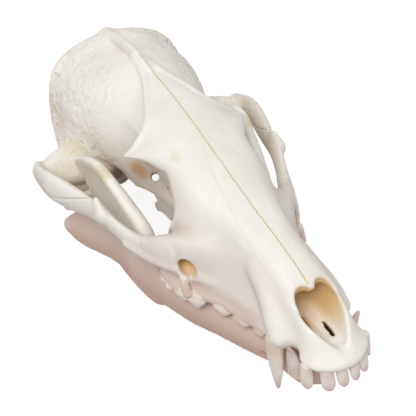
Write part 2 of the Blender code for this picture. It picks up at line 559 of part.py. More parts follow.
def tooth_cusps(teeth, sockets, sign):
    """The meshes of one side's teeth, for a jaw whose sockets lie at a height along the row."""
    meshes = []
    for tooth in teeth:
        turn = math.radians(tooth.turn)
        x0, y0 = tooth.place
        for forward, outward, half_length, half_width, height in tooth.cusps:
            x = x0 - forward * math.sin(turn) + outward * math.cos(turn)
            y = y0 - forward * math.cos(turn) - outward * math.sin(turn)
            sides = 8 if tooth.name == "canine" else 6
            edge = 0.85 if tooth.name.startswith("incisor") else 0.25
            place = (x, y, float(sockets(y)))
            meshes.append(cone(place, turn, half_length, half_width, sign * height, tooth.lean, tooth.root,
                               sides, edge))
    return meshes


def fuse_teeth(bone, meshes, collection):
    """Join the teeth to the bone that they grow from."""
    roots = bpy.data.collections.new("teeth_of_" + bone.name)
    collection.children.link(roots)
    for mesh in meshes:
        new_object(mesh, "tooth", roots)
    union = bone.modifiers.new("Teeth", "BOOLEAN")
    union.operation = "UNION"
    union.operand_type = "COLLECTION"
    union.collection = roots
    union.solver = "EXACT"
    applied(bone)
    for tooth in list(roots.objects):
        bpy.data.objects.remove(tooth, do_unlink=True)
    bpy.data.collections.remove(roots)
    largest_surface(bone)


def bone_material(name, colour, roughness):
    """A plain bone or enamel surface."""
    material = bpy.data.materials.new(name)
    material.use_nodes = True
    shader = material.node_tree.nodes["Principled BSDF"]
    shader.inputs["Base Color"].default_value = (*colour, 1.0)
    shader.inputs["Roughness"].default_value = roughness
    shader.inputs["Metallic"].default_value = 0.0
    material.diffuse_color = (*colour, 1.0)
    return material


def new_object(mesh, name, collection):
    """An object for a mesh, in a collection."""
    mesh.name = name
    piece = bpy.data.objects.new(name, mesh)
    collection.objects.link(piece)
    return piece


def applied(piece):
    """Make the object's modifiers part of its mesh."""
    graph = bpy.context.evaluated_depsgraph_get()
    mesh = bpy.data.meshes.new_from_object(piece.evaluated_get(graph))
    piece.modifiers.clear()
    old = piece.data
    piece.data = mesh
    mesh.name = piece.name
    bpy.data.meshes.remove(old)


def largest_surface(piece):
    """Keep the largest closed surface of the object and drop any loose scrap."""
    shape = bmesh.new()
    shape.from_mesh(piece.data)
    groups = []
    waiting = set(shape.verts)
    while waiting:
        reached = {waiting.pop()}
        edge = set(reached)
        while edge:
            edge = {e.other_vert(v) for v in edge for e in v.link_edges} & waiting
            waiting -= edge
            reached |= edge
        groups.append(reached)
    groups.sort(key=len, reverse=True)
    scraps = [v for group in groups[1:] for v in group]
    bmesh.ops.delete(shape, geom=scraps, context="VERTS")
    bmesh.ops.triangulate(shape, faces=shape.faces)
    shape.to_mesh(piece.data)
    shape.free()


def thinned(piece, triangles):
    """Reduce the mesh to about this many triangles."""
    count = sum(len(face.vertices) - 2 for face in piece.data.polygons)
    if count > triangles:
        reduce = piece.modifiers.new("Fewer triangles", "DECIMATE")
        reduce.ratio = triangles / count
        applied(piece)


def mirror_image(mesh):
    """The same mesh on the animal's other side."""
    other = mesh.copy()
    other.transform(Matrix.Scale(-1, 4, (1, 0, 0)))
    other.flip_normals()
    return other


def bend_snout(mesh):
    """Bend the front of the snout a little to the animal's left, as it has grown."""
    for vertex in mesh.vertices:
        vertex.co.x += SNOUT_BEND * MM * float(1 - ease(vertex.co.y / MM, 6.0, 28.0))


def make_cranium(clay, collection):
    """The cranium without its jugals."""
    clay.cut(jugal_region(-SUTURE_GAP / 2), 0.1)
    piece = new_object(clay.mirrored().mesh("cranium"), "cranium", collection)
    largest_surface(piece)
    thinned(piece, CRANIUM_TRIANGLES)
    left = tooth_cusps(UPPER_TEETH, along(UPPER_SOCKETS), -1)
    fuse_teeth(piece, left + [mirror_image(mesh) for mesh in left], collection)
    bend_snout(piece.data)
    return piece


def make_jugals(clay, collection):
    """The jugal bone of each side."""
    clay.keep(jugal_region(SUTURE_GAP / 2), 0.1)
    left = new_object(clay.mesh("zygomatic_left"), "zygomatic_left", collection)
    largest_surface(left)
    thinned(left, JUGAL_TRIANGLES)
    right = new_object(mirror_image(left.data), "zygomatic_right", collection)
    return left, right


def make_dentaries(collection):
    """Both halves of the lower jaw."""
    left = new_object(sculpt_dentary(CELL).mesh("mandible_left"), "mandible_left", collection)
    largest_surface(left)
    thinned(left, DENTARY_TRIANGLES)
    fuse_teeth(left, tooth_cusps(LOWER_TEETH, along(LOWER_SOCKETS), 1), collection)
    right = new_object(mirror_image(left.data), "mandible_right", collection)
    for piece in (left, right):
        bend_snout(piece.data)
    return left, right


def set_at_rest(pieces, collection):
    """Tip the skull as it lies, with its lowest point on the table and its middle over the origin."""
    rest = bpy.data.objects.new("resting_pose", None)
    collection.objects.link(rest)
    rest.rotation_euler = (-math.radians(REST_TILT_DEG), 0.0, 0.0)
    turn = rest.rotation_euler.to_matrix()
    corners = np.array([turn @ vertex.co for piece in pieces for vertex in piece.data.vertices])
    low, high = corners.min(axis=0), corners.max(axis=0)
    rest.location = (0.0, -(low[1] + high[1]) / 2, -low[2])
    for piece in pieces:
        piece.parent = rest
    return rest


def build():
    for old in list(bpy.data.objects):
        bpy.data.objects.remove(old, do_unlink=True)
    skull = bpy.data.collections.new("raccoon_dog_skull")
    bpy.context.scene.collection.children.link(skull)
    clay = sculpt_cranium(CELL)
    cut_for_jaw(clay)
    pieces = [make_cranium(clay.copy(), skull), *make_jugals(clay, skull), *make_dentaries(skull)]
    set_at_rest(pieces, skull)
    for piece in pieces:
        piece.data.materials.clear()
        piece.data.materials.append(bone_material("bone_" + piece.name, (0.86, 0.82, 0.74), 0.55))
        print(piece.name, len(piece.data.polygons), "triangles")


build()
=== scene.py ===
# %% [markdown]
# A raccoon dog skull, bleached and dry, with its jaws closed, lying as it rests on a table. The
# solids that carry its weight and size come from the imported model. This lesson dresses them: it
# sculpts each bone again in finer grain, gives every tooth its crown, draws the sutures, and mixes
# the bone and enamel finishes.

# %% Load the solids
import math
from collections import namedtuple

import bmesh
import bpy
import numpy as np
import openvdb
from mathutils import Matrix, Vector
from mathutils.bvhtree import BVHTree


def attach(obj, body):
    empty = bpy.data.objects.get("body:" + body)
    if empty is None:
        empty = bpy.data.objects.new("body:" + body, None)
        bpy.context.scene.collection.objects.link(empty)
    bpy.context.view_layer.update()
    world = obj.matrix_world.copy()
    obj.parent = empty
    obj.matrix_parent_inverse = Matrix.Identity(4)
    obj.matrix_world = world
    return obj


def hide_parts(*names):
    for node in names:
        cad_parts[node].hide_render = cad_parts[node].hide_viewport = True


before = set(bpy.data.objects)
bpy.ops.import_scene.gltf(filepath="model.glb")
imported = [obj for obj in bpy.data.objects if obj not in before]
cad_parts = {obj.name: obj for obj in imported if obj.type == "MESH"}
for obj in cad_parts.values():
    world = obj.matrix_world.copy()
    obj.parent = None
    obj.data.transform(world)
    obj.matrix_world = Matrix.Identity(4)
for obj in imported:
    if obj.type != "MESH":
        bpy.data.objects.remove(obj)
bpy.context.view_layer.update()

# %% [markdown]
# All the sculpting is done in millimetres in the skull's own frame: x to the animal's left, y back
# from the front of the upper incisors' sockets, z up from the line of the upper tooth sockets. One
# matrix then lays the finished mesh down as the skull rests on its lower jaw, so every object can
# stay at the origin, unturned.

# %% Sizes and the resting pose
MM = 0.001

ARCH_HALF_WIDTH = 36.0
BRAINCASE_HALF_WIDTH = 22.0
INTERORBITAL_HALF_WIDTH = 11.6
JAW_GAP = 0.45
SNOUT_BEND = 0.9
BEND_SPAN = (6.0, 28.0)
SUTURE_EDGE = 0.1
REST_TILT_DEG = 11.64
FLOOR_DEPTH = 29.4
REST_SHIFT = -62.12
REST_LIFT = 29.41

resting_pose = (Matrix.Translation((0.0, REST_SHIFT * MM, REST_LIFT * MM))
                @ Matrix.Rotation(-math.radians(REST_TILT_DEG), 4, "X"))
print("the skull is tipped back by", REST_TILT_DEG, "degrees")

# %% [markdown]
# The camera comes first, so that each look at the work has the photograph's frame. It looks down on
# the skull's right side from the front, close enough for the nose to loom a little.

# %% The camera
VIEW_AZIMUTH_DEG = -25.25
VIEW_ELEVATION_DEG = 35.23
VIEW_ROLL_DEG = -7.07
VIEW_DISTANCE = 177.06
VIEW_AIM = Vector((-0.06, 59.49, 8.0))
SENSOR_WIDTH = 36.0
LENS = 56.01


def place_camera():
    """The camera of the photograph, set from its direction and distance in the skull's frame."""
    azimuth, elevation = math.radians(VIEW_AZIMUTH_DEG), math.radians(VIEW_ELEVATION_DEG)
    back = Vector((math.sin(azimuth) * math.cos(elevation), -math.cos(azimuth) * math.cos(elevation),
                   math.sin(elevation)))
    right = (-back).cross(Vector((0, 0, 1))).normalized()
    up = right.cross(-back)
    level = Matrix((right, up, back)).transposed()
    turned = level @ Matrix.Rotation(math.radians(VIEW_ROLL_DEG), 3, "Z")
    place = Matrix.Translation((VIEW_AIM + back * VIEW_DISTANCE) * MM) @ turned.to_4x4()
    lens = bpy.data.cameras.new("camera")
    lens.sensor_width = SENSOR_WIDTH
    lens.lens = LENS
    lens.clip_start = 0.005
    camera = bpy.data.objects.new("camera", lens)
    bpy.context.scene.collection.objects.link(camera)
    camera.matrix_world = resting_pose @ place
    bpy.context.scene.camera = camera
    return camera


camera = place_camera()
print("camera at", [round(v, 3) for v in camera.matrix_world.translation])

# %% [markdown]
# Bone has no flat faces and few sharp edges, so polygons are an awkward way to model it. Clay is
# easier: a grid that stores the distance to the surface, to which rounded forms are pressed on with a
# fillet and from which hollows are cut. A smooth curve through a few stations gives each profile its
# run along the skull.

# %% Curves and blends
def along(stations):
    """A smooth curve through a few (place, value) stations, level beyond its ends."""
    place, value = np.array(stations, dtype=float).T
    step = np.diff(place)
    slope = np.diff(value) / step
    tangent = np.zeros_like(value)
    tangent[0], tangent[-1] = slope[0], slope[-1]
    for i in range(1, len(slope)):
        if slope[i - 1] * slope[i] > 0:
            tangent[i] = 2.0 / (1.0 / slope[i - 1] + 1.0 / slope[i])

    def read(where):
        where = np.clip(where, place[0], place[-1])
        i = np.clip(np.searchsorted(place, where) - 1, 0, len(step) - 1)
        t = (where - place[i]) / step[i]
        start = (1 + 2 * t) * (1 - t) ** 2 * value[i] + t * (1 - t) ** 2 * step[i] * tangent[i]
        end = t * t * (3 - 2 * t) * value[i + 1] + t * t * (t - 1) * step[i] * tangent[i + 1]
        return start + end

    return read


def smooth_path(points, steps=5, closed=False):
    """Extra points on a smooth curve through the given ones; any number of values a point."""
    points = np.array(points, dtype=float)
    count = len(points)
    spans = count if closed else count - 1
    path = []
    for i in range(spans):
        if closed:
            before, start, end, after = (points[(i + k) % count] for k in (-1, 0, 1, 2))
        else:
            start, end = points[i], points[i + 1]
            before = points[i - 1] if i else 2 * start - end
            after = points[i + 2] if i + 2 < count else 2 * end - start
        for t in np.arange(steps) / steps:
            path.append(0.5 * (2 * start + (end - before) * t
                               + (2 * before - 5 * start + 4 * end - after) * t ** 2
                               + (3 * start - before - 3 * end + after) * t ** 3))
    if not closed:
        path.append(points[-1])
    return np.array(path)


def smooth_max(a, b, width):
    """The greater of two distances, with the corner between them rounded over a width."""
    h = np.clip(0.5 + 0.5 * (a - b) / width, 0, 1)
    return b * (1 - h) + a * h + width * h * (1 - h)


def ease(value, start, end):
    """0 before start, 1 after end, and a smooth step between them."""
    t = np.clip((value - start) / (end - start), 0, 1)
    return t * t * (3 - 2 * t)


print("a quarter of the way along, an eased step has risen to", float(ease(0.25, 0.0, 1.0)))

# %% The clay
Shape = namedtuple("Shape", "low high distance")


class Clay:
    """A block of clay: the distance to its surface, in millimetres, on a regular grid."""

    FAR = 3.0

    def __init__(self, low, high, cell):
        self.cell = cell
        self.axes = [np.arange(a, b + cell, cell) for a, b in zip(low, high)]
        self.field = np.full([len(axis) for axis in self.axes], self.FAR)

    def part_of(self, shape, margin):
        """The slice of the block round a shape, and the coordinates in it."""
        slices = []
        for axis, low, high in zip(self.axes, shape.low, shape.high):
            first, last = np.searchsorted(axis, (low - margin, high + margin))
            slices.append(slice(max(first, 0), max(last, 0)))
        x, y, z = (axis[s] for axis, s in zip(self.axes, slices))
        return tuple(slices), x[:, None, None], y[None, :, None], z[None, None, :]

    def add(self, shape, blend=1.0):
        """Press a shape on, with the clay drawn into a fillet round it."""
        slices, x, y, z = self.part_of(shape, blend + self.FAR)
        self.field[slices] = -smooth_max(-self.field[slices], -shape.distance(x, y, z), blend)

    def cut(self, shape, blend=0.6):
        """Take a shape away, with the edge of the hollow rounded."""
        slices, x, y, z = self.part_of(shape, blend + self.FAR)
        self.field[slices] = smooth_max(self.field[slices], -shape.distance(x, y, z), blend)

    def keep(self, shape, blend=0.3):
        """Keep only what lies inside a shape."""
        x, y, z = self.axes
        distance = shape.distance(x[:, None, None], y[None, :, None], z[None, None, :])
        self.field = smooth_max(self.field, distance, blend)

    def copy(self):
        """The same block again."""
        twin = Clay((0, 0, 0), (0, 0, 0), self.cell)
        twin.axes = self.axes
        twin.field = self.field.copy()
        return twin

    def mirrored(self):
        """The whole block of a bone of which this one, starting at x = 0, is the left half."""
        whole = Clay((0, 0, 0), (0, 0, 0), self.cell)
        whole.axes = [np.concatenate((-self.axes[0][:0:-1], self.axes[0]))] + self.axes[1:]
        whole.field = np.concatenate((self.field[:0:-1], self.field))
        return whole

    def mesh(self, name):
        """The surface of the clay as a mesh, in metres."""
        grid = openvdb.FloatGrid(self.FAR)
        inside = np.clip(self.field, -self.FAR, self.FAR).astype(np.float32)
        grid.copyFromArray(inside, tolerance=0.0)
        points, quads = grid.convertToQuads(0.0)
        origin = np.array([axis[0] for axis in self.axes])
        mesh = bpy.data.meshes.new(name)
        mesh.from_pydata((points * self.cell + origin) * MM, [], quads)
        mesh.validate()
        return mesh


print("clay ready")

# %% [markdown]
# Five shapes are enough for a whole skull: a ball for swellings, a rod for bars and ridges, a column
# for the long face, a plate for the thin blade of the lower jaw, and a half space to cut with.

# %% Balls, rods and columns
def ball(centre, radii, turn=(0, 0, 0)):
    """An ellipsoid, turned by angles in degrees about x, y and z."""
    turned = Matrix.Identity(3)
    for angle, axis in zip(turn, "XYZ"):
        turned = Matrix.Rotation(math.radians(angle), 3, axis) @ turned
    rows = np.array(turned.transposed())
    reach = max(radii) if any(turn) else np.array(radii)

    def distance(x, y, z):
        right, back, up = x - centre[0], y - centre[1], z - centre[2]
        local = [row[0] * right + row[1] * back + row[2] * up for row in rows]
        size = np.sqrt(sum((v / r) ** 2 for v, r in zip(local, radii)))
        pull = np.sqrt(sum((v / r ** 2) ** 2 for v, r in zip(local, radii)))
        return size * (size - 1) / np.maximum(pull, 1e-6)

    return Shape(np.array(centre) - reach, np.array(centre) + reach, distance)


def rod(points, thin=1.0, across=(1, 0, 0), steps=5):
    """A smooth bar through (x, y, z, radius) points, squeezed to thin times its radius across."""
    path = smooth_path(points, steps)
    reach = path[:, 3].max()
    across = np.array(Vector(across).normalized())

    def distance(x, y, z):
        best = None
        for start, end in zip(path[:-1], path[1:]):
            step = end[:3] - start[:3]
            offset = (x - start[0], y - start[1], z - start[2])
            t = np.clip(sum(v * s for v, s in zip(offset, step)) / max(step @ step, 1e-9), 0, 1)
            offset = [v - t * s for v, s in zip(offset, step)]
            side = sum(v * a for v, a in zip(offset, across)) * (1.0 / thin - 1.0)
            length = np.sqrt(sum((v + side * a) ** 2 for v, a in zip(offset, across)))
            here = (length - start[3] - t * (end[3] - start[3])) * math.sqrt(thin)
            best = here if best is None else np.minimum(best, here)
        return best

    return Shape(path[:, :3].min(axis=0) - reach, path[:, :3].max(axis=0) + reach, distance)


def column(ends, side, top, bottom, camber=0.0, corner=2.5, heel=1.5, nose=0.0):
    """A long body between two places on y: half width side(y, z), a roof that falls to the sides by
    camber times x squared, a floor, and a front that falls back by nose times x squared."""
    reach = np.array((40.0, ends[1], 60.0))

    def distance(x, y, z):
        wall = smooth_max(np.abs(x) - side(y, z), z - top(y) + camber * x ** 2, corner)
        wall = smooth_max(wall, bottom(y) - z, heel)
        wall = smooth_max(wall, ends[0] + nose * x ** 2 - y, heel)
        return smooth_max(wall, y - ends[1], heel)

    return Shape(np.array((-reach[0], ends[0], -30.0)), reach, distance)


print("3 mm from the middle of a ball of 2 mm, the distance is",
      float(ball((0, 0, 0), (2, 2, 2)).distance(3.0, 0.0, 0.0)))

# %% Plates and flat cuts
def plate(outline, middle, thickness, edge=0.8):
    """A thin wall with an outline in (y, z), lying at x = middle(y, z), with rounded edges."""
    corners = smooth_path(outline, 4, closed=True)

    def distance(x, y, z):
        flat_y, flat_z = np.broadcast_arrays(y[0], z[0])
        nearest = np.full(flat_y.shape, 1e9)
        inside = np.zeros(flat_y.shape, dtype=bool)
        for (y0, z0), (y1, z1) in zip(corners, np.roll(corners, -1, axis=0)):
            dy, dz = y1 - y0, z1 - z0
            t = np.clip(((flat_y - y0) * dy + (flat_z - z0) * dz) / max(dy * dy + dz * dz, 1e-9), 0, 1)
            nearest = np.minimum(nearest, np.hypot(flat_y - y0 - t * dy, flat_z - z0 - t * dz))
            crosses = (z0 > flat_z) != (z1 > flat_z)
            inside ^= crosses & (flat_y < y0 + dy * (flat_z - z0) / (dz if dz else 1e-9))
        rim = np.where(inside, -nearest, nearest)[None] + edge
        face = np.abs(x - middle(y, z)) - thickness(y, z) + edge
        outer = np.hypot(np.maximum(rim, 0), np.maximum(face, 0))
        return outer + np.minimum(np.maximum(rim, face), 0) - edge

    low = corners.min(axis=0)
    high = corners.max(axis=0)
    return Shape(np.array((0.0, *low)), np.array((40.0, *high)), distance)


def half_space(point, normal):
    """Everything behind a plane, which faces along its normal."""
    normal = np.array(Vector(normal).normalized())

    def distance(x, y, z):
        return (x - point[0]) * normal[0] + (y - point[1]) * normal[1] + (z - point[2]) * normal[2]

    return Shape(np.full(3, -200.0), np.full(3, 200.0), distance)


def table_top():
    """Everything above the table, in the skull's own frame."""
    tilt = math.radians(REST_TILT_DEG)
    up = (0.0, -math.sin(tilt), math.cos(tilt))
    point = [-FLOOR_DEPTH * v for v in up]
    return half_space(point, [-v for v in up])


print("the table lies", FLOOR_DEPTH, "mm below the skull's origin")

# %% [markdown]
# The profiles of the face. Each pair is a place along the skull and a height or half width there,
# measured on the photograph along the camera's rays: the arched roof, the muzzle that pinches behind
# the canines, and the narrow forehead between the orbits.

# %% Profiles of the skull
ROOF = ((-1, 0.9), (1.2, 2.5), (3, 3.8), (8, 8.8), (13.2, 13.2), (20, 16.8), (28, 19.8), (36, 22.6),
        (44, 25.8), (52, 29.2), (62, 33.2), (74, 37.2), (81, 38.9), (86, 40.2), (92, 41.6))
MUZZLE_BASE = ((0, 5.6), (4, 7.8), (7, 8.2), (10, 7.6), (14, 9.0), (18, 9.6), (22, 10.2), (28, 11.6),
               (34, 13.6), (40, 17.0), (46, 19.6), (51, 19.8), (55.5, 18.0), (59, 14.0))
MUZZLE_ROOF = ((1, 3.0), (8, 5.2), (13, 5.8), (22, 5.6), (32, 6.4), (40, 8.0), (48, 10.4), (55, 11.8))
FOREHEAD_RIM = ((36, 6.0), (42, 8.0), (48, 10.4), (57, INTERORBITAL_HALF_WIDTH), (63, 13.2), (67, 13.0),
                (71, 11.2), (80, 10.6))
TEMPORAL_LINE = ((66, 15.0), (67.8, 12.6), (69.4, 10.4), (72, 8.4), (75.3, 6.8), (79, 5.1), (83, 3.3),
                 (88, 2.0), (94, 1.5))
ORBIT_WALL = ((36, 8.0), (42, 9.6), (50, 9.4), (58, 8.2), (66, 8.0), (74, 9.4), (82, 12.0))
BRAINCASE_WIDTH = ((68, 8.0), (76, 10.4), (80, 12.8), (85, 15.8), (90, 18.0), (95, 19.6), (100, 21.0),
                   (106, BRAINCASE_HALF_WIDTH), (112, 21.8), (118, 19.5))
BRAINCASE_TOP = ((68, 33.0), (76, 35.4), (84, 37.8), (92, 39.6), (100, 40.4), (108, 40.6), (114, 40.0),
                 (119, 38.0))
print("roof from", ROOF[0], "to", ROOF[-1])

# %% The face
def sculpt_face(clay):
    """The muzzle and the forehead in one body: the nasals, premaxillae, maxillae and frontals, back to
    the narrow waist behind the postorbital processes, where the temporal lines bound the forehead."""
    base, roof, top = along(MUZZLE_BASE), along(MUZZLE_ROOF), along(ROOF)
    rim, wall, line = along(FOREHEAD_RIM), along(ORBIT_WALL), along(TEMPORAL_LINE)
    floor = along(((-1, -0.2), (8, -0.6), (16, -0.7), (24, -1.3), (46, -1.4), (54, -0.5), (59, 3.0),
                   (64, 8.0), (84, 8.0)))

    def side(y, z):
        height = np.clip((z - 1.0) / np.maximum(top(y) - 1.0, 2.0), 0, 1)
        muzzle = base(y) + (roof(y) - base(y)) * height ** 0.8
        forehead = wall(y) + (rim(y) - wall(y)) * ease(z, 14.0, 27.0)
        share = ease(y, 51.0, 59.0)
        whole = muzzle * (1 - share) + forehead * share
        shoulder = ease(z, top(y) - 9.0, top(y) - 0.8) * ease(y, 65.0, 70.0)
        return whole * (1 - shoulder) + line(y) * shoulder

    clay.add(column((-0.6, 94.0), side, top, floor, camber=0.022, corner=3.2, heel=1.4, nose=0.06), 1.0)


def sculpt_swellings(clay):
    """The swelling over each canine's root, the cheek below the orbit and the postorbital process."""
    clay.add(rod(((8.9, 14.2, 2.2, 1.9), (8.2, 16.4, 5.4, 2.1), (7.2, 20.0, 9.4, 1.8),
                  (6.0, 25.0, 13.0, 1.4))), 3.0)
    clay.add(rod(((12.6, 40.0, 9.6, 4.0), (16.4, 45.6, 9.8, 4.4), (19.8, 51.0, 9.0, 3.4),
                  (22.6, 57.0, 9.2, 1.6)), thin=0.42, across=(0.85, -0.53, 0)), 5.0)
    clay.add(rod(((7.6, 60.0, 27.6, 4.6), (12.4, 64.2, 28.4, 3.2), (17.0, 68.0, 27.4, 1.1)),
                 thin=0.45, across=(0.3, 0.1, 1)), 2.4)


print("the forehead is", 2 * INTERORBITAL_HALF_WIDTH, "mm wide between the orbits")

# %% [markdown]
# Behind the face come the egg of the braincase, the low ridges that the jaw muscles leave on it, and
# the back of the head with its condyles. The temporal lines start at the postorbital processes, run
# in to the middle and join into one crest, which ends in the broad flange of the nuchal crest.

# %% The braincase and its crests
def sculpt_braincase(clay):
    """The egg of the braincase, widest far back, and the base of the skull below it."""
    width, top = along(BRAINCASE_WIDTH), along(BRAINCASE_TOP)

    def distance(x, y, z):
        middle = (top(y) + 6.0) / 2
        height = (top(y) - 6.0) / 2
        size = (np.abs(x / width(y)) ** 2.05 + np.abs((z - middle) / height) ** 2.05) ** (1 / 2.05)
        egg = smooth_max((size - 1) * 0.9 * np.minimum(width(y), height), y - 118.0, 5.0)
        return smooth_max(egg, 74.0 - y, 6.0)

    clay.add(Shape(np.array((0, 66.0, -2.0)), np.array((23.0, 119.0, 43.0)), distance), 3.0)
    clay.add(ball((14.5, 104.0, 14.0), (9.0, 11.0, 8.5)), 4.0)
    clay.add(rod(((0, 76.0, 12.0, 3.4), (0, 92.0, 11.0, 4.6), (0, 112.0, 9.4, 5.5))), 4.0)


def sculpt_crests(clay):
    """The sagittal crest, the temporal lines that run into it, and the nuchal crest."""
    clay.add(rod(((0, 86.0, 39.2, 1.2), (0, 92.0, 40.6, 1.6), (0, 98.0, 41.6, 1.9), (0, 108.0, 42.2, 1.9),
                  (0, 116.6, 40.4, 2.2)), thin=0.6), 1.8)
    clay.add(rod(((16.2, 67.6, 28.0, 0.6), (12.9, 67.8, 30.8, 0.7), (10.2, 69.3, 32.8, 0.7),
                  (8.2, 72.0, 34.4, 0.7), (6.6, 75.3, 36.0, 0.7), (4.9, 79.0, 37.5, 0.7),
                  (3.1, 83.0, 38.9, 0.7), (1.8, 88.0, 40.1, 0.7), (0.6, 94.0, 41.0, 0.7))), 1.2)
    clay.add(rod(((0, 115.6, 37.2, 4.0), (6.0, 115.4, 36.4, 4.0), (11.4, 115.0, 34.0, 4.0),
                  (14.8, 114.4, 30.4, 3.6), (16.6, 113.4, 26.0, 3.0), (18.0, 112.0, 21.0, 2.4))), 4.0)
    clay.add(rod(((0, 118.0, 38.6, 2.6), (6.2, 118.0, 37.4, 2.6), (12.2, 117.6, 36.2, 2.6),
                  (16.9, 117.0, 33.6, 2.6), (18.9, 116.0, 28.4, 2.6), (20.4, 114.2, 22.6, 2.6),
                  (21.6, 111.6, 17.0, 2.5), (22.4, 107.0, 13.6, 2.4)),
                 thin=0.34, across=(0.25, 1, 0.15)), 3.6)


print("the braincase is", 2 * BRAINCASE_HALF_WIDTH, "mm wide")

# %% The back and base of the head
def sculpt_occiput(clay):
    """The back of the head below the nuchal crest, the condyles and the processes beside them."""
    clay.add(rod(((0, 112.5, 36.0, 4.0), (0, 112.5, 22.0, 5.5))), 3.0)
    clay.add(rod(((4.6, 117.0, 8.6, 3.0), (7.4, 117.2, 13.0, 3.6), (7.2, 115.2, 17.6, 2.6))), 1.6)
    clay.add(rod(((13.0, 110.0, 10.0, 3.0), (14.0, 110.0, 4.5, 2.0), (14.4, 110.4, 0.6, 1.1))), 2.0)
    clay.add(rod(((18.5, 105.0, 11.0, 3.4), (19.0, 106.0, 7.0, 2.0))), 2.0)


def sculpt_base(clay):
    """The bullae, the pterygoids on either side of the choanae, and the palate's rear edge."""
    pterygoid = ((56.0, 10.0), (56.0, 0.6), (66.0, 0.8), (75.0, 0.4), (79.0, -1.0), (80.0, 1.6),
                 (77.0, 4.0), (80.0, 10.0))
    clay.add(ball((11.8, 98.4, 8.2), (5.6, 8.6, 6.2), (0, 0, 14)), 1.2)
    clay.add(plate(pterygoid, lambda y, z: 6.2 + 0.02 * (y - 56.0), lambda y, z: 1.0 + 0.07 * (z + 1.0),
                   edge=0.6), 1.6)

# %% [markdown]
# The cheek arch leaves the face below the orbit and meets the braincase above the jaw joint. Its
# front half is a bone of its own, the jugal, so one region of space says which side of the sutures
# each bone takes.

# %% The cheek arch
def sculpt_arch(clay):
    """The zygomatic arch, from the maxilla below the orbit to the squamosal above the jaw joint."""
    half = ARCH_HALF_WIDTH
    clay.add(rod(((half - 17.6, 47.0, 8.6, 3.4), (half - 13.6, 55.0, 8.8, 3.2),
                  (half - 11.0, 61.0, 10.6, 3.1), (half - 9.2, 66.0, 12.8, 3.4),
                  (half - 6.9, 74.0, 13.5, 3.8), (half - 4.7, 80.0, 13.7, 4.5),
                  (half - 2.7, 86.0, 13.7, 4.7), (half - 1.5, 91.0, 13.3, 4.7),
                  (half - 1.3, 95.0, 12.8, 4.5), (half - 1.7, 98.6, 12.2, 4.2)), thin=0.32), 1.8)
    clay.add(rod(((half - 8.0, 65.6, 14.4, 2.4), (half - 8.4, 67.8, 17.2, 1.2)), thin=0.6), 1.8)
    clay.add(rod(((half - 2.4, 99.0, 13.6, 2.3), (half - 8.5, 101.0, 15.2, 2.6),
                  (20.0, 102.0, 15.4, 4.0)), thin=0.6, across=(0, 0, 1)), 2.4)
    clay.add(rod(((17.5, 95.0, 10.8, 3.4), (25.5, 95.6, 10.8, 3.2), (half - 4.0, 96.2, 10.8, 2.6)),
                 thin=0.8, across=(0, 0, 1)), 2.0)
    clay.add(rod(((18.0, 98.8, 12.8, 4.2), (26.0, 98.8, 12.4, 3.8), (half - 3.6, 98.4, 12.0, 3.0)),
                 thin=0.6, across=(0, 0, 1)), 2.0)
    clay.add(rod(((19.0, 96.0, 6.6, 1.7), (24.0, 96.0, 5.8, 1.9), (28.5, 95.6, 7.2, 1.9),
                  (32.4, 95.2, 10.0, 1.6)), thin=0.8), 1.6)
    clay.add(rod(((12.0, 36.0, 4.8, 1.2), (17.6, 44.0, 6.2, 1.2), (21.6, 51.0, 6.8, 1.1),
                  (24.8, 58.0, 8.2, 0.9))), 1.6)


def jugal_region():
    """The space that the jugal bone takes: behind its suture with the maxilla, below that with the
    squamosal."""
    half = ARCH_HALF_WIDTH
    front = half_space((half - 13.6, 53.0, 8.8), (-0.45, -1.0, 0.35)).distance
    above = half_space((half, 79.3, 14.2), (0.0, 0.36, 1.0)).distance
    behind = half_space((half, 71.6, 16.6), (0.0, -1.0, 0.45)).distance
    medial = half_space((half - 17.2, 60.0, 10.0), (-1.0, 0.25, 0.0)).distance

    def distance(x, y, z):
        squamosal = np.maximum(-above(x, y, z), behind(x, y, z))
        return np.maximum(np.maximum(front(x, y, z), medial(x, y, z)), -squamosal)

    return Shape(np.array((half - 22.2, 46.0, -5.0)), np.array((40.0, 104.0, 30.0)), distance)


print("the cheek arches span", 2 * ARCH_HALF_WIDTH, "mm")

# %% The openings
def cut_nose(clay):
    """The nasal cavity, with a lobe on either side of the nasals' tip. Its floor runs out over the
    premaxillae as a shallow gutter."""
    roof = along(((1, 3.6), (4, 6.6), (8, 11.0), (11.8, 15.0), (13.9, 11.6), (20, 12.8)))
    wide = along(((0, 1.2), (3, 2.7), (5, 4.0), (7, 4.7), (9, 4.9), (11, 4.8), (13, 4.6), (20, 4.3)))
    floor = along(((-1, 3.2), (1.5, 2.8), (4, 2.9), (6, 2.8), (9, 2.5), (13, 3.0), (24, 5.0)))
    clay.cut(column((-2.0, 23.0), lambda y, z: wide(y) * (0.5 + 0.52 * ease(z, 2.0, 9.5)), roof, floor,
                    corner=2.4, heel=1.8), 1.3)
    clay.cut(ball((2.6, 13.1, 12.4), (1.9, 1.7, 2.4)), 0.7)


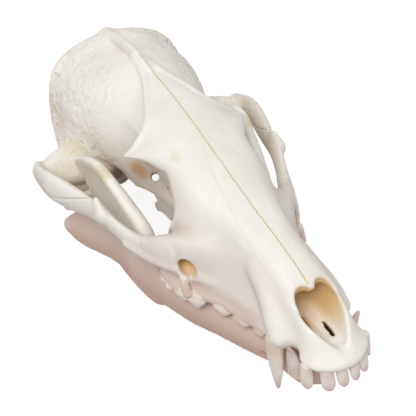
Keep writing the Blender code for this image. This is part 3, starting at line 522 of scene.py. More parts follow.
def cut_openings(clay):
    """The openings that lead into the bone, and the hollows where the jaw's muscles lay."""
    clay.cut(rod(((18.6, 35.0, 5.6, 2.3), (16.0, 41.6, 7.2, 2.3), (15.4, 46.0, 9.0, 1.9),
                  (16.6, 51.0, 12.0, 1.8)), thin=0.8), 0.6)
    clay.cut(rod(((25.6, 58.0, 2.4, 2.6), (22.4, 51.0, 2.5, 2.5), (20.2, 45.0, 2.4, 2.2),
                  (16.1, 37.0, 2.2, 1.6), (12.9, 29.0, 1.9, 1.3), (11.2, 22.0, 1.6, 1.0))), 1.0)
    clay.add(rod(((17.4, 41.6, 4.4, 1.0), (17.4, 40.6, 0.4, 1.3))), 1.0)
    clay.cut(rod(((7.6, 10.4, -4.0, 2.4), (10.1, 9.2, 4.6, 1.5))), 1.0)
    clay.cut(ball((0.0, 76.0, 3.6), (5.0, 20.0, 4.4)), 1.0)
    clay.cut(rod(((10.6, 67.8, 18.2, 1.2), (3.4, 86.8, 5.2, 1.2)), steps=1), 0.4)
    clay.cut(ball((0.0, 119.0, 15.5), (6.2, 7.0, 5.8)), 1.0)
    clay.cut(rod(((25.0, 100.4, 8.0, 2.0), (16.0, 99.6, 8.4, 1.6))), 0.8)


def cut_orbit(clay):
    """The orbit, which opens behind into the temporal fossa."""
    clay.cut(ball((20.4, 60.4, 18.4), (10.8, 11.8, 9.2), (0, 0, -16)), 1.4)


def sculpt_palate(clay):
    """The vault of the palate between the tooth rows."""
    width = along(((6, 3.5), (14, 5.8), (30, 7.2), (44, 11.0), (52, 10.5), (58, 9.0)))
    vault = along(((5, -0.8), (14, 0.0), (24, 1.0), (58, 2.2)))
    below = along(((5, -9.0), (58, -9.0)))
    clay.cut(column((5.0, 60.0), lambda y, z: width(y) - 1.2 * z, vault, below, corner=1.5), 1.0)

# %% [markdown]
# The lower jaw is two bones that meet at the chin. Each is a bar that deepens towards the back and a
# thin blade that rises inside the cheek arch. Its lower edge is trimmed where the skull rests on the
# table.

# %% The lower jaw
def jaw_joint(swell):
    """The condyle of the lower jaw, which is a bar across, swollen by some millimetres."""
    return rod(((19.0, 90.8, 4.0, 1.7 + swell), (25.0, 90.2, 4.6, 2.1 + swell),
                (30.6, 89.4, 5.2, 1.5 + swell)))


def sculpt_dentary(cell):
    """The left half of the lower jaw."""
    clay = Clay((-1.0, -1.0, -22.0), (35.0, 104.0, 30.0), cell)
    clay.add(rod(((2.9, 8.4, -8.8, 2.0), (4.2, 12.5, -9.2, 2.9), (6.0, 20.0, -8.9, 4.0),
                  (8.2, 28.0, -9.2, 4.8), (11.4, 38.0, -9.6, 5.3), (14.8, 48.0, -10.0, 5.9),
                  (17.4, 58.0, -9.9, 6.2), (19.2, 66.0, -9.6, 6.7)), thin=0.48), 1.5)
    clay.add(rod(((2.9, 8.2, -8.2, 2.1), (5.0, 10.6, -8.4, 2.9), (5.6, 17.0, -8.6, 3.0)),
                 thin=0.85), 1.5)
    clay.add(rod(((2.2, 9.4, -8.4, 2.2), (2.6, 14.0, -8.8, 2.6), (3.4, 19.0, -9.0, 2.2)),
                 thin=0.9), 1.5)

    def middle(y, z):
        flare = 0.30 * np.maximum(y - 77.0, 0) * ease(-z, -4.0, 8.0)
        return 18.3 + 0.16 * (y - 59.0) + 0.10 * np.maximum(z - 5.0, 0) + flare

    def thickness(y, z):
        return 2.0 - 1.1 * ease(z, -4.0, 16.0) - 0.3 * ease(y, 84.0, 96.0)

    ramus = ((57.0, -15.2), (66.0, -16.6), (72.0, -15.8), (79.0, -12.6), (86.0, -11.9), (92.0, -11.8),
             (97.0, -8.6), (98.4, -5.4), (96.6, -2.8), (92.0, 0.6), (88.0, 4.0), (86.6, 8.0),
             (88.6, 12.6), (92.0, 16.4), (90.0, 19.0), (83.0, 22.0), (78.0, 22.8), (74.0, 22.0),
             (70.6, 19.0), (66.6, 15.8), (61.0, 11.6), (59.0, 7.6), (59.0, 3.0), (57.0, -4.0))
    clay.add(plate(ramus, middle, thickness, edge=0.8), 2.0)
    clay.add(rod(((17.8, 56.4, -5.5, 2.0), (18.6, 59.6, 2.0, 2.1), (18.9, 60.6, 8.0, 2.0),
                  (20.0, 65.2, 12.9, 1.9), (21.3, 70.8, 17.4, 1.6), (22.6, 76.0, 21.0, 1.2),
                  (23.6, 83.0, 20.6, 0.9))), 1.6)
    clay.add(jaw_joint(0.0), 1.6)
    clay.add(rod(((24.8, 91.0, 4.2, 1.7), (23.8, 88.5, -1.0, 1.7), (21.6, 82.0, -7.0, 1.4))), 2.0)
    clay.cut(half_space((JAW_GAP / 2, 0, 0), (1, 0, 0)), 0.3)
    clay.keep(table_top(), 0.2)
    return clay


def cut_for_jaw(clay):
    """Keep the cranium clear of the condyle that turns in it."""
    clay.cut(jaw_joint(JAW_GAP + 0.2), 0.4)


print("the two lower jaw bones are", JAW_GAP, "mm apart at the chin")

# %% [markdown]
# Now the finer work that only this model has. Real bone isn't smooth: the braincase of a young adult
# is covered in fine, winding ripples, small vessels leave pits, and the bones meet along sutures. The
# ripples are a smooth noise that is added to the distance itself, so they are real relief and not
# only a shading trick.

# %% Fine relief
RIPPLE_SIZE = 1.5
RIPPLE_HEIGHT = 0.2
SWELL_SIZE = 3.0
SWELL_HEIGHT = 0.05
JAW_SWELL_HEIGHT = 0.06
SKIN_DEPTH = 1.5
NOISE_PERIOD = 64


def value_noise(seed, spacing):
    """A smooth random field in millimetres, between -1 and 1, the same on each run."""
    grid = np.random.default_rng(seed).uniform(-1.0, 1.0, (NOISE_PERIOD,) * 3)

    def read(x, y, z):
        total = 0.0
        spots = [np.asarray(v, dtype=float) / spacing for v in (x, y, z)]
        cells = [np.floor(v).astype(int) for v in spots]
        shares = [v - c for v, c in zip(spots, cells)]
        shares = [v * v * (3 - 2 * v) for v in shares]
        for corner in range(8):
            steps = [(corner >> k) & 1 for k in range(3)]
            weight = 1.0
            for step, share in zip(steps, shares):
                weight = weight * (share if step else 1 - share)
            i, j, k = [(c + step) % NOISE_PERIOD for c, step in zip(cells, steps)]
            total = total + weight * grid[i, j, k]
        return total

    return read


def ripple(clay, region, height, size, seed):
    """Raise low winding ripples where region(x, y, z) is 1."""
    noise, warp = value_noise(seed, size), value_noise(seed + 1, size * 1.7)
    near = np.abs(clay.field) < SKIN_DEPTH
    i, j, k = np.nonzero(near)
    x, y, z = clay.axes[0][i], clay.axes[1][j], clay.axes[2][k]
    bend = warp(x, y, z) * size * 0.8
    relief = 1.0 - 2.0 * np.abs(noise(x + bend, y - bend, z + bend * 0.5))
    clay.field[near] -= height * relief * region(x, y, z)


def braincase_region(x, y, z):
    """1 on the sides of the braincase, 0 along its crest and on the smooth face and base."""
    lengthwise = ease(y, 80.0, 90.0) * ease(z, 8.0, 15.0) * (1 - ease(y, 114.0, 118.0))
    return lengthwise * ease(np.abs(x), 3.0, 8.0)


def all_over(x, y, z):
    """1 everywhere."""
    return np.ones(np.shape(x))


print("ripples", RIPPLE_HEIGHT, "mm high and", RIPPLE_SIZE, "mm across")

# %% [markdown]
# Vessels and nerves leave the bone through foramina. The largest, below the orbit, is already in the
# solids; these are the small ones that the photograph shows, drilled as short tapering rods.

# %% Small foramina
FORAMINA = (
    ((6.6, 50.0, 29.6), (5.6, 52.0, 27.0), 0.35),
    ((9.0, 66.5, 14.0), (7.0, 67.0, 13.2), 0.7),
    ((11.0, 73.0, 22.0), (8.4, 73.4, 21.6), 0.5),
    ((17.0, 98.6, 16.6), (15.0, 98.0, 17.0), 0.5),
    ((2.2, 1.0, 1.8), (2.2, 2.2, 1.2), 0.3),
    ((3.4, 3.4, 3.6), (3.2, 4.0, 3.0), 0.25),
)
CHIN_FORAMINA = (
    ((5.0, 13.0, -9.6), (4.0, 13.6, -9.4), 0.6),
    ((8.6, 21.0, -9.6), (7.0, 21.4, -9.4), 0.75),
    ((10.2, 28.4, -9.8), (9.0, 28.6, -9.6), 0.5),
)


def drill(clay, foramina):
    """Cut each foramen as a rod that narrows from its mouth inwards."""
    for start, end, radius in foramina:
        clay.cut(rod(((*start, radius), (*end, radius * 0.7)), steps=1), 0.3)


print(len(FORAMINA) + len(CHIN_FORAMINA), "small foramina a side")

# %% [markdown]
# A mesh comes out of the clay at its surface. It is brought under the size limit by collapsing edges
# where the bone is smooth, and each bone is one closed skin.

# %% From clay to mesh
FINE_CELL = 0.38
TOOTH_CELL = 0.22
MOST_TRIANGLES = 180000


def new_object(mesh, name):
    """An object for a mesh, in the scene."""
    mesh.name = name
    piece = bpy.data.objects.new(name, mesh)
    bpy.context.scene.collection.objects.link(piece)
    return piece


def plain_mesh(piece):
    """Make the object's modifiers part of its mesh and take them off."""
    graph = bpy.context.evaluated_depsgraph_get()
    mesh = bpy.data.meshes.new_from_object(piece.evaluated_get(graph))
    piece.modifiers.clear()
    old = piece.data
    piece.data = mesh
    mesh.name = piece.name
    bpy.data.meshes.remove(old)


def one_skin(mesh):
    """Keep only the largest connected skin of a mesh."""
    count = len(mesh.vertices)
    ends = np.empty(len(mesh.edges) * 2, dtype=np.int64)
    mesh.edges.foreach_get("vertices", ends)
    ends = ends.reshape(-1, 2)
    label = np.arange(count)
    while True:
        low = np.minimum(label[ends[:, 0]], label[ends[:, 1]])
        before = label.copy()
        np.minimum.at(label, ends[:, 0], low)
        np.minimum.at(label, ends[:, 1], low)
        label = label[label]
        if (label == before).all():
            break
    names, sizes = np.unique(label, return_counts=True)
    if len(names) > 1:
        keep = label == names[np.argmax(sizes)]
        shape = bmesh.new()
        shape.from_mesh(mesh)
        loose = [vertex for vertex in shape.verts if not keep[vertex.index]]
        bmesh.ops.delete(shape, geom=loose, context="VERTS")
        shape.to_mesh(mesh)
        shape.free()


def bone_piece(clay, name):
    """A smooth bone from its clay, still in the skull's own frame."""
    piece = new_object(clay.mesh(name), name)
    one_skin(piece.data)
    triangles = 2 * len(piece.data.polygons)
    if triangles > MOST_TRIANGLES:
        fewer = piece.modifiers.new("Fewer triangles", "DECIMATE")
        fewer.ratio = MOST_TRIANGLES / triangles
        plain_mesh(piece)
    piece.data.shade_smooth()
    print(name, len(piece.data.polygons), "faces")
    return piece


def mirror_image(mesh):
    """The same mesh on the animal's other side."""
    other = mesh.copy()
    other.transform(Matrix.Scale(-1, 4, (1, 0, 0)))
    other.flip_normals()
    return other


def bend_snout(mesh):
    """Bend the front of the snout a little to the animal's left, as it has grown."""
    for vertex in mesh.vertices:
        vertex.co.x += SNOUT_BEND * MM * float(1 - ease(vertex.co.y / MM, *BEND_SPAN))


print("bone in cells of", FINE_CELL, "mm, teeth in cells of", TOOTH_CELL, "mm")

# %% [markdown]
# What the eye reads as age on a bone is partly stain and partly painted shade: gold where the nose and
# the foramina keep a little dried tissue, deepening as painted shade further into the opening;
# pink-brown painted shade in hollows, on undersides and along the lower edges; tan painted shade inside
# the arch, on the orbit wall and over the jaw joint; dark red-brown painted shade in the nose's slit and
# round the bulla; olive stain and orange in soft spots. Each is painted onto the mesh as an attribute
# from where a point lies, which way it faces, and how deep in a hollow it is, which the clay itself can
# tell.

# %% Painting the stains and the painted shade
HOLLOW_REACH = 2.2


def clay_reader(clay):
    """The distance to the surface at any points, read between the grid's cells."""
    origin = np.array([axis[0] for axis in clay.axes])
    most = np.array(clay.field.shape) - 2

    def read(points):
        spots = np.clip((points - origin) / clay.cell, 0, most + 0.999)
        cells = np.minimum(spots.astype(int), most)
        shares = spots - cells
        total = 0.0
        for corner in range(8):
            step = np.array([(corner >> k) & 1 for k in range(3)])
            weight = np.prod(np.where(step, shares, 1 - shares), axis=1)
            total = total + weight * clay.field[tuple((cells + step).T)]
        return total

    return read


def points_and_normals(mesh):
    """The vertices of a mesh in millimetres, and their normals."""
    points = np.empty(len(mesh.vertices) * 3)
    mesh.vertices.foreach_get("co", points)
    normals = np.empty(len(mesh.vertices) * 3)
    mesh.vertex_normals.foreach_get("vector", normals)
    return points.reshape(-1, 3) / MM, normals.reshape(-1, 3)


def paint(mesh, name, values):
    """Store one number for each vertex under a name that the materials can read."""
    layer = mesh.attributes.new(name, "FLOAT", "POINT")
    layer.data.foreach_set("value", np.clip(values, 0, 1).astype(np.float32))


def hollowness(mesh, clay):
    """0 on open bone, towards 1 deep in a hollow or a crease."""
    read = clay_reader(clay)
    points, normals = points_and_normals(mesh)
    total = 0.0
    for reach in (0.6 * HOLLOW_REACH, HOLLOW_REACH, 1.6 * HOLLOW_REACH):
        free = np.clip(read(points + normals * reach), -1.0, clay.FAR) / min(reach, clay.FAR)
        total = total + (1 - np.clip(free, 0, 1)) / 3
    return total


def near_spot(points, centre, radii):
    """1 in the middle of a soft spot, falling to 0 at its edge."""
    away = np.linalg.norm((points - np.array(centre)) / np.array(radii), axis=1)
    return 1 - ease(away, 0.3, 1.0)


print("a hollow is felt over about", HOLLOW_REACH, "mm")

# %% [markdown]
# The materials follow the real ones. Bleached bone is chalky calcium phosphate: no metal, an IOR near
# 1.56, rough, with faint cream and grey clouds a centimetre across. Enamel is the same mineral packed
# hard, so it is glossier and whiter, and yellows at the neck. Colours are given as sRGB hex and
# turned to linear by one function.

# %% Colours and nodes
def colour(hex_code):
    """An sRGB hex colour as linear red, green and blue with full alpha."""
    parts = [int(hex_code[i:i + 2], 16) / 255 for i in (0, 2, 4)]
    return (*(v / 12.92 if v <= 0.04045 else ((v + 0.055) / 1.055) ** 2.4 for v in parts), 1.0)


def add_node(tree, kind, links=None, **settings):
    """A node with its settings, and its inputs linked or set."""
    node = tree.nodes.new(kind)
    for name, value in settings.items():
        setattr(node, name, value)
    for name, value in (links or {}).items():
        socket = node.inputs[name]
        if isinstance(value, bpy.types.NodeSocket):
            tree.links.new(value, socket)
        else:
            socket.default_value = value
    return node


# A colour mix has several sockets of one name, so its sockets go by their places: how much of the
# second colour, the first colour, the second colour, and the mixed colour that comes out
AMOUNT, FIRST, SECOND, MIXED = 0, 6, 7, 2


def new_material(name, roughness, ior):
    """An empty material with its tree and its shader."""
    material = bpy.data.materials.new(name)
    material.use_nodes = True
    tree = material.node_tree
    shader = tree.nodes["Principled BSDF"]
    shader.inputs["Roughness"].default_value = roughness
    shader.inputs["IOR"].default_value = ior
    return material, tree, shader


print("the hex grey 808080 is", round(colour("808080")[0], 3), "in linear light")

# %% Bleached bone
BONE_ROUGHNESS = 0.5
BONE_IOR = 1.56
# Millimetres. Real pores are finer: the grain and the pores are as coarse as they need to be to show
CLOUD_SIZE = 14.0
GRAIN_SIZE = 0.9
PORE_SIZE = 0.5
PORE_SHARE = 0.12
BONE_BUMP = 0.25
# hollow, pink, tan and dark are painted shade; gold is dried tissue and partly painted shade; olive is
# stain
STAIN_AND_SHADE_COLOURS = {"hollow": "B79E8B", "pink": "C59984", "tan": "C3AC8C", "olive": "D8CC98",
          "gold": "E4C48A", "orange": "CF9444", "dark": "5A2A20"}


def bleached_bone():
    """Dry bleached bone, with its stains and its painted shade read from the mesh."""
    material, tree, shader = new_material("bleached bone", BONE_ROUGHNESS, BONE_IOR)
    place = add_node(tree, "ShaderNodeTexCoord").outputs["Object"]
    clouds = add_node(tree, "ShaderNodeTexNoise", {
        "Vector": place, "Scale": 1 / (CLOUD_SIZE * MM), "Detail": 4.0, "Roughness": 0.55})
    grain = add_node(tree, "ShaderNodeTexNoise", {
        "Vector": place, "Scale": 1 / (GRAIN_SIZE * MM), "Detail": 3.0, "Distortion": 0.6})
    pores = add_node(tree, "ShaderNodeTexVoronoi", {
        "Vector": place, "Scale": 1 / (PORE_SIZE * MM)}, feature="F1")
    cloud = add_node(tree, "ShaderNodeMapRange", {
        "Value": clouds.outputs["Fac"], "From Min": 0.35, "From Max": 0.7})
    tone = add_node(tree, "ShaderNodeMix", {
        AMOUNT: cloud.outputs["Result"], FIRST: colour("FBF9F3"), SECOND: colour("F2EDE4")},
        data_type="RGBA").outputs[MIXED]
    # The layers hollow, pink, tan and dark are painted shade, and gold is painted shade in part
    for name, layer_colour in STAIN_AND_SHADE_COLOURS.items():
        amount = add_node(tree, "ShaderNodeAttribute", attribute_name=name).outputs["Fac"]
        tone = add_node(tree, "ShaderNodeMix", {
            AMOUNT: amount, FIRST: tone, SECOND: colour(layer_colour)}, data_type="RGBA").outputs[MIXED]
    tree.links.new(tone, shader.inputs["Base Color"])
    rippled = add_node(tree, "ShaderNodeAttribute", attribute_name="rippled").outputs["Fac"]
    relief = add_node(tree, "ShaderNodeMath", {0: rippled, 1: 0.75, 2: 0.2}, operation="MULTIPLY_ADD")
    height = add_node(tree, "ShaderNodeMath", {
        0: grain.outputs["Fac"], 1: relief.outputs[0]}, operation="MULTIPLY")
    pitted = add_node(tree, "ShaderNodeMath", {
        0: pores.outputs["Distance"], 1: PORE_SHARE, 2: height.outputs[0]}, operation="MULTIPLY_ADD")
    bump = add_node(tree, "ShaderNodeBump", {
        "Height": pitted.outputs[0], "Distance": BONE_BUMP * MM, "Strength": 0.8})
    tree.links.new(bump.outputs["Normal"], shader.inputs["Normal"])
    return material


bone = bleached_bone()
print("made", bone.name)

# %% Tooth enamel
ENAMEL_ROUGHNESS = 0.28
ENAMEL_IOR = 1.62
STREAK_SIZE = 1.6
ENAMEL_BUMP = 0.12


def tooth_enamel():
    """Hard glossy enamel, yellower at the neck, with a faint pink cast towards the tip."""
    material, tree, shader = new_material("tooth enamel", ENAMEL_ROUGHNESS, ENAMEL_IOR)
    place = add_node(tree, "ShaderNodeTexCoord").outputs["Object"]
    streaks = add_node(tree, "ShaderNodeTexNoise", {
        "Vector": place, "Scale": 1 / (STREAK_SIZE * MM), "Detail": 3.0})
    wear = add_node(tree, "ShaderNodeMapRange", {
        "Value": streaks.outputs["Fac"], "From Min": 0.4, "From Max": 0.75})
    tone = add_node(tree, "ShaderNodeMix", {
        AMOUNT: wear.outputs["Result"], FIRST: colour("F5EDE6"), SECOND: colour("E9DCD2")},
        data_type="RGBA").outputs[MIXED]
    for name, layer_colour in (("tip", "D2B5B0"), ("neck", "CFA25C")):
        amount = add_node(tree, "ShaderNodeAttribute", attribute_name=name).outputs["Fac"]
        tone = add_node(tree, "ShaderNodeMix", {
            AMOUNT: amount, FIRST: tone, SECOND: colour(layer_colour)}, data_type="RGBA").outputs[MIXED]
    tree.links.new(tone, shader.inputs["Base Color"])
    bump = add_node(tree, "ShaderNodeBump", {
        "Height": streaks.outputs["Fac"], "Distance": ENAMEL_BUMP * MM, "Strength": 0.35})
    tree.links.new(bump.outputs["Normal"], shader.inputs["Normal"])
    return material


enamel = tooth_enamel()
print("made", enamel.name)

# %% [markdown]
# The cranium is sculpted once. Its clay is then shared out: the jugals take what lies inside their
# sutures, and the rest is the cranium. The jaw joint is kept clear before the two are parted.

# %% Sculpt the cranium
# How strongly painted shade darkens the bone in hollows and creases
HOLLOW_SHADE = 0.8
# Soft spots with their middle, radii and strength: orange on the wall behind the orbit, olive stain
# where the arch leaves the braincase and on the right of the forehead, and dark painted shade in front
# of the bulla
WALL_SPOTS = (((11.3, 77.7, 15.7), (4.0, 5.0, 4.0), 0.7),
              ((11.8, 71.0, 21.0), (3.5, 9.0, 3.5), 0.6),
              ((12.5, 64.0, 24.5), (3.0, 5.0, 3.0), 0.5))
ARCH_SPOTS = (((23.0, 99.0, 17.6), (6.0, 6.0, 4.0), 0.5),)
FOREHEAD_SPOTS = (((-8.8, 55.7, 29.4), (1.6, 2.4, 2.0), 0.35),)
BASE_SPOTS = (((14.0, 89.5, 9.3), (3.5, 5.0, 4.0), 0.9),)
# The middle and the radii of the painted shade in the nose's dark slit, of the gold in the foramen
# below the orbit, and of the painted shade round the bulla
SLIT = (1.4, 9.9, 1.0), (2.5, 5.0, 3.0)
FORAMEN = (16.0, 43.0, 8.0), (6.0, 8.0, 6.0)
BULLA = (11.0, 94.0, 5.0), (6.5, 11.0, 7.5)


def strongest_spot(points, spots):
    """The strongest of some soft spots at each point."""
    return np.maximum.reduce([strength * near_spot(points, middle, radii)
                              for middle, radii, strength in spots])


def paint_stains_and_shade(mesh, clay, closed=None):
    """Paint every stain and every painted shade of the bone finish on a mesh. closed is the clay before
    its openings were cut, which tells how deep inside an opening a point lies."""
    points, normals = points_and_normals(mesh)
    x, y, z = np.abs(points[:, 0]), points[:, 1], points[:, 2]
    outward = normals[:, 0] * np.sign(points[:, 0])
    hollow = hollowness(mesh, clay)
    depth = -clay_reader(closed)(points) if closed else np.zeros(len(points))
    sided = np.stack((x, y, z), axis=1)
    flange = ease(y, 98.0, 104.0) * ease(z, 12.0, 16.0)
    # Painted shade on faces turned downwards, away from the light overhead
    under = ease(-normals[:, 2], -0.1, 0.8) * (1 - flange)
    # Painted shade low on the sides of the muzzle and along the row of tooth sockets
    flank = ease(outward, 0.1, 0.6) * ease(y, 12.0, 22.0) * (1 - ease(y, 50.0, 58.0))
    flank = flank * (1 - ease(z, 10.0, 20.0))
    sockets = ease(y, 12.0, 24.0) * (1 - ease(y, 52.0, 58.0)) * (1 - ease(z, 2.0, 6.5))
    # Painted shade in tan on the arch's inner faces, the orbit wall and the roof of the jaw joint
    inner_arch = ease(x, 21.0, 26.0) * ease(-outward, 0.0, 0.6)
    orbit_wall = ease(y, 46.0, 52.0) * (1 - ease(x, 11.0, 15.0)) * (1 - ease(z, 22.0, 27.0))
    orbit_wall = orbit_wall * ease(outward, 0.2, 0.7)
    joint_roof = ease(y, 86.0, 92.0) * ease(x, 14.0, 19.0) * (1 - ease(z, 13.0, 17.0))
    # Gold deep in the nose and the foramen: dried tissue, and painted shade growing with depth
    nose = ease(depth, 0.1, 0.9) * (1 - ease(y, 24.0, 28.0)) * ease(y, 4.0, 13.0) * ease(z, 1.5, 5.5)
    # Painted shade: dark red-brown in the slit of the nose and round the bulla
    slit = near_spot(points, *SLIT) * (1 - ease(z, 2.0, 2.5))
    foramen = ease(depth, 0.3, 1.2) * near_spot(sided, *FORAMEN)
    bulla = near_spot(sided, *BULLA) * (1 - ease(z, 8.0, 13.0))
    gold = np.maximum(nose, foramen)
    # Painted shade: hollows and creases are darkened, less where the gold lies
    paint(mesh, "hollow", HOLLOW_SHADE * ease(hollow, 0.2, 0.8) * (1 - 0.8 * gold))
    # Painted shade in pink-brown on undersides, low flanks and along the sockets
    paint(mesh, "pink", np.maximum.reduce((0.3 * under, 0.5 * sockets, 0.2 * flank)))
    # Painted shade in tan inside the arch, on the orbit wall and over the jaw joint
    paint(mesh, "tan", np.maximum.reduce((0.3 * inner_arch, 0.25 * orbit_wall, 0.5 * joint_roof)))
    paint(mesh, "rippled", braincase_region(x, y, z))
    # Gold: a little dried tissue, and painted shade that grows with depth in the opening
    paint(mesh, "gold", gold)
    paint(mesh, "orange", strongest_spot(sided, WALL_SPOTS))
    paint(mesh, "olive", np.maximum(strongest_spot(sided, ARCH_SPOTS), strongest_spot(points, FOREHEAD_SPOTS)))
    # Painted shade: dark red-brown round the bulla, in front of it and in the nose's slit
    paint(mesh, "dark", np.maximum.reduce((bulla, strongest_spot(sided, BASE_SPOTS), slit)))


JAW_SPOTS = (((22.6, 74.0, 21.0), (3.0, 4.0, 3.0), 0.6),)


def paint_jaw_stains_and_shade(mesh, clay):
    """Paint a lower jaw bone: pink-brown painted shade along its body, darker lower down, tan painted
    shade on the sides of its upright blade, and olive stain in a spot.
    """
    points, normals = points_and_normals(mesh)
    x, y, z = points.T
    hollow = hollowness(mesh, clay)
    blade = ease(z, -2.0, 6.0)
    # Painted shade: hollows and creases of the jaw are darkened
    paint(mesh, "hollow", HOLLOW_SHADE * ease(hollow, 0.2, 0.8))
    # Painted shade: pink-brown on the jaw's body, darker towards the bottom
    paint(mesh, "pink", (0.6 + 0.3 * ease(-z, 4.0, 14.0)) * (1 - blade))
    # Painted shade: tan on the flat sides of the upright blade
    paint(mesh, "tan", 0.35 * blade * ease(np.abs(normals[:, 0]), 0.75, 0.95))
    paint(mesh, "olive", strongest_spot(points, JAW_SPOTS))
    for name in ("rippled", "gold", "orange", "dark"):
        paint(mesh, name, np.zeros(len(points)))


whole = Clay((0.0, -3.0, -6.0), (39.0, 124.0, 47.0), FINE_CELL)
for sculpt in (sculpt_face, sculpt_swellings, cut_orbit, sculpt_palate, sculpt_braincase, sculpt_crests,
               sculpt_occiput, sculpt_base, sculpt_arch):
    sculpt(whole)
closed = whole.copy()
cut_nose(whole)
cut_openings(whole)
cut_for_jaw(whole)
drill(whole, FORAMINA)
cheek = whole.copy()
print("sculpted half a cranium of", whole.field.size, "cells")

# %% [markdown]
# On the floor of the nose two clefts lead down to the palate. The left one is a narrow dark slit and
# the right one a wide groove with a thin ledge of bone beside it, so they are cut after the half has
# been mirrored.

# %% The clefts of the nose, and the mesh of the cranium
def cut_clefts(clay):
    """The slit, the groove and its ledge on the floor of the nose."""
    clay.cut(rod(((1.0, 7.9, 1.7, 1.3), (1.4, 9.9, 1.7, 1.4), (1.65, 11.3, 1.8, 1.2)), thin=0.27), 0.1)
    clay.cut(rod(((-1.7, 15.0, 2.8, 0.7), (-2.6, 12.3, 2.7, 1.1), (-3.1, 9.8, 2.8, 1.2),
                  (-3.0, 7.8, 3.2, 0.9), (-2.6, 6.2, 3.8, 0.4))), 0.3)
    clay.add(rod(((-0.9, 15.8, 3.1, 0.4), (-1.5, 13.0, 3.5, 0.5), (-2.1, 10.1, 3.7, 0.5),
                  (-2.2, 7.9, 3.7, 0.5), (-1.9, 5.6, 3.4, 0.35))), 0.25)


ripple(whole, braincase_region, RIPPLE_HEIGHT, RIPPLE_SIZE, seed=3)
ripple(whole, all_over, SWELL_HEIGHT, SWELL_SIZE, seed=11)
whole.cut(jugal_region(), SUTURE_EDGE)
whole = whole.mirrored()
closed = closed.mirrored()
cut_clefts(whole)
cranium = bone_piece(whole, "cranium_bone")
paint_stains_and_shade(cranium.data, whole, closed)
bend_snout(cranium.data)
cranium.data.materials.append(bone)

# %% The jugals
cheek.keep(jugal_region(), SUTURE_EDGE)
jugal_left = bone_piece(cheek, "jugal_left")
paint_stains_and_shade(jugal_left.data, cheek)
jugal_left.data.materials.append(bone)
new_object(mirror_image(jugal_left.data), "jugal_right")

# %% The lower jaw bones
jaw_clay = sculpt_dentary(FINE_CELL)
drill(jaw_clay, CHIN_FORAMINA)
ripple(jaw_clay, all_over, JAW_SWELL_HEIGHT, SWELL_SIZE, seed=21)
dentary_left = bone_piece(jaw_clay, "dentary_left")
paint_jaw_stains_and_shade(dentary_left.data, jaw_clay)
dentary_left.data.materials.append(bone)
dentary_right = new_object(mirror_image(dentary_left.data), "dentary_right")
for piece in (dentary_left, dentary_right):
    bend_snout(piece.data)

# %% [markdown]
# The teeth of a raccoon dog are those of a small omnivorous dog: three incisors, a slim canine, four
# premolars and the low molars. Each cusp is a stack of ellipses from the socket to its tip, and the
# cusps of a tooth are blended into one crown.

# %% The teeth and their sockets
Tooth = namedtuple("Tooth", "name place turn lean root cusps")

# The place of each socket, the turn of its row from the y axis in degrees, the lean of its tip, the depth
# of its root, and its cusps: forward, outward, half length, half width, height
UPPER_TEETH = (
    Tooth("incisor_1", (1.65, 1.6), 80, (0.0, -1.7), 1.6, ((0, 0, 1.4, 1.2, 5.5),)),
    Tooth("incisor_2", (4.7, 2.7), 66, (0.3, -1.8), 1.6, ((0, 0, 1.6, 1.3, 5.7),)),
    Tooth("incisor_3", (7.9, 5.6), 44, (0.7, -1.5), 1.6, ((0, 0, 1.4, 1.4, 5.6),)),
    Tooth("canine", (9.3, 15.0), 12, (1.6, -2.8), 3.5, ((0, 0, 2.3, 1.7, 12.0),)),
    Tooth("premolar_1", (9.3, 20.6), 10, (0.0, -0.2), 2.0, ((0, 0, 1.6, 1.0, 2.6),)),
    Tooth("premolar_2", (10.4, 26.2), 16, (0.0, -0.3), 2.0, ((0, 0, 2.7, 1.15, 3.4),)),
    Tooth("premolar_3", (12.2, 32.6), 20, (0.0, -0.3), 2.0, ((0, 0, 3.1, 1.3, 3.8),)),
    Tooth("carnassial", (16.2, 41.0), 24, (0.0, -0.2), 2.0,
          ((1.6, 0.2, 3.0, 1.7, 4.7), (-2.6, 0.3, 2.9, 1.5, 3.8), (2.9, -2.6, 1.6, 1.7, 2.6))),
    Tooth("molar_1", (17.0, 49.2), 4, (0.0, 0.0), 2.0,
          ((1.7, 1.6, 2.0, 1.8, 3.3), (-1.6, 1.4, 1.8, 1.7, 2.9), (0.2, -2.4, 2.5, 2.6, 1.7))),
    Tooth("molar_2", (14.2, 53.7), -8, (0.0, 0.0), 2.0,
          ((0.6, 1.4, 1.6, 1.5, 1.8), (-0.2, -1.0, 1.7, 1.9, 1.3))),
)
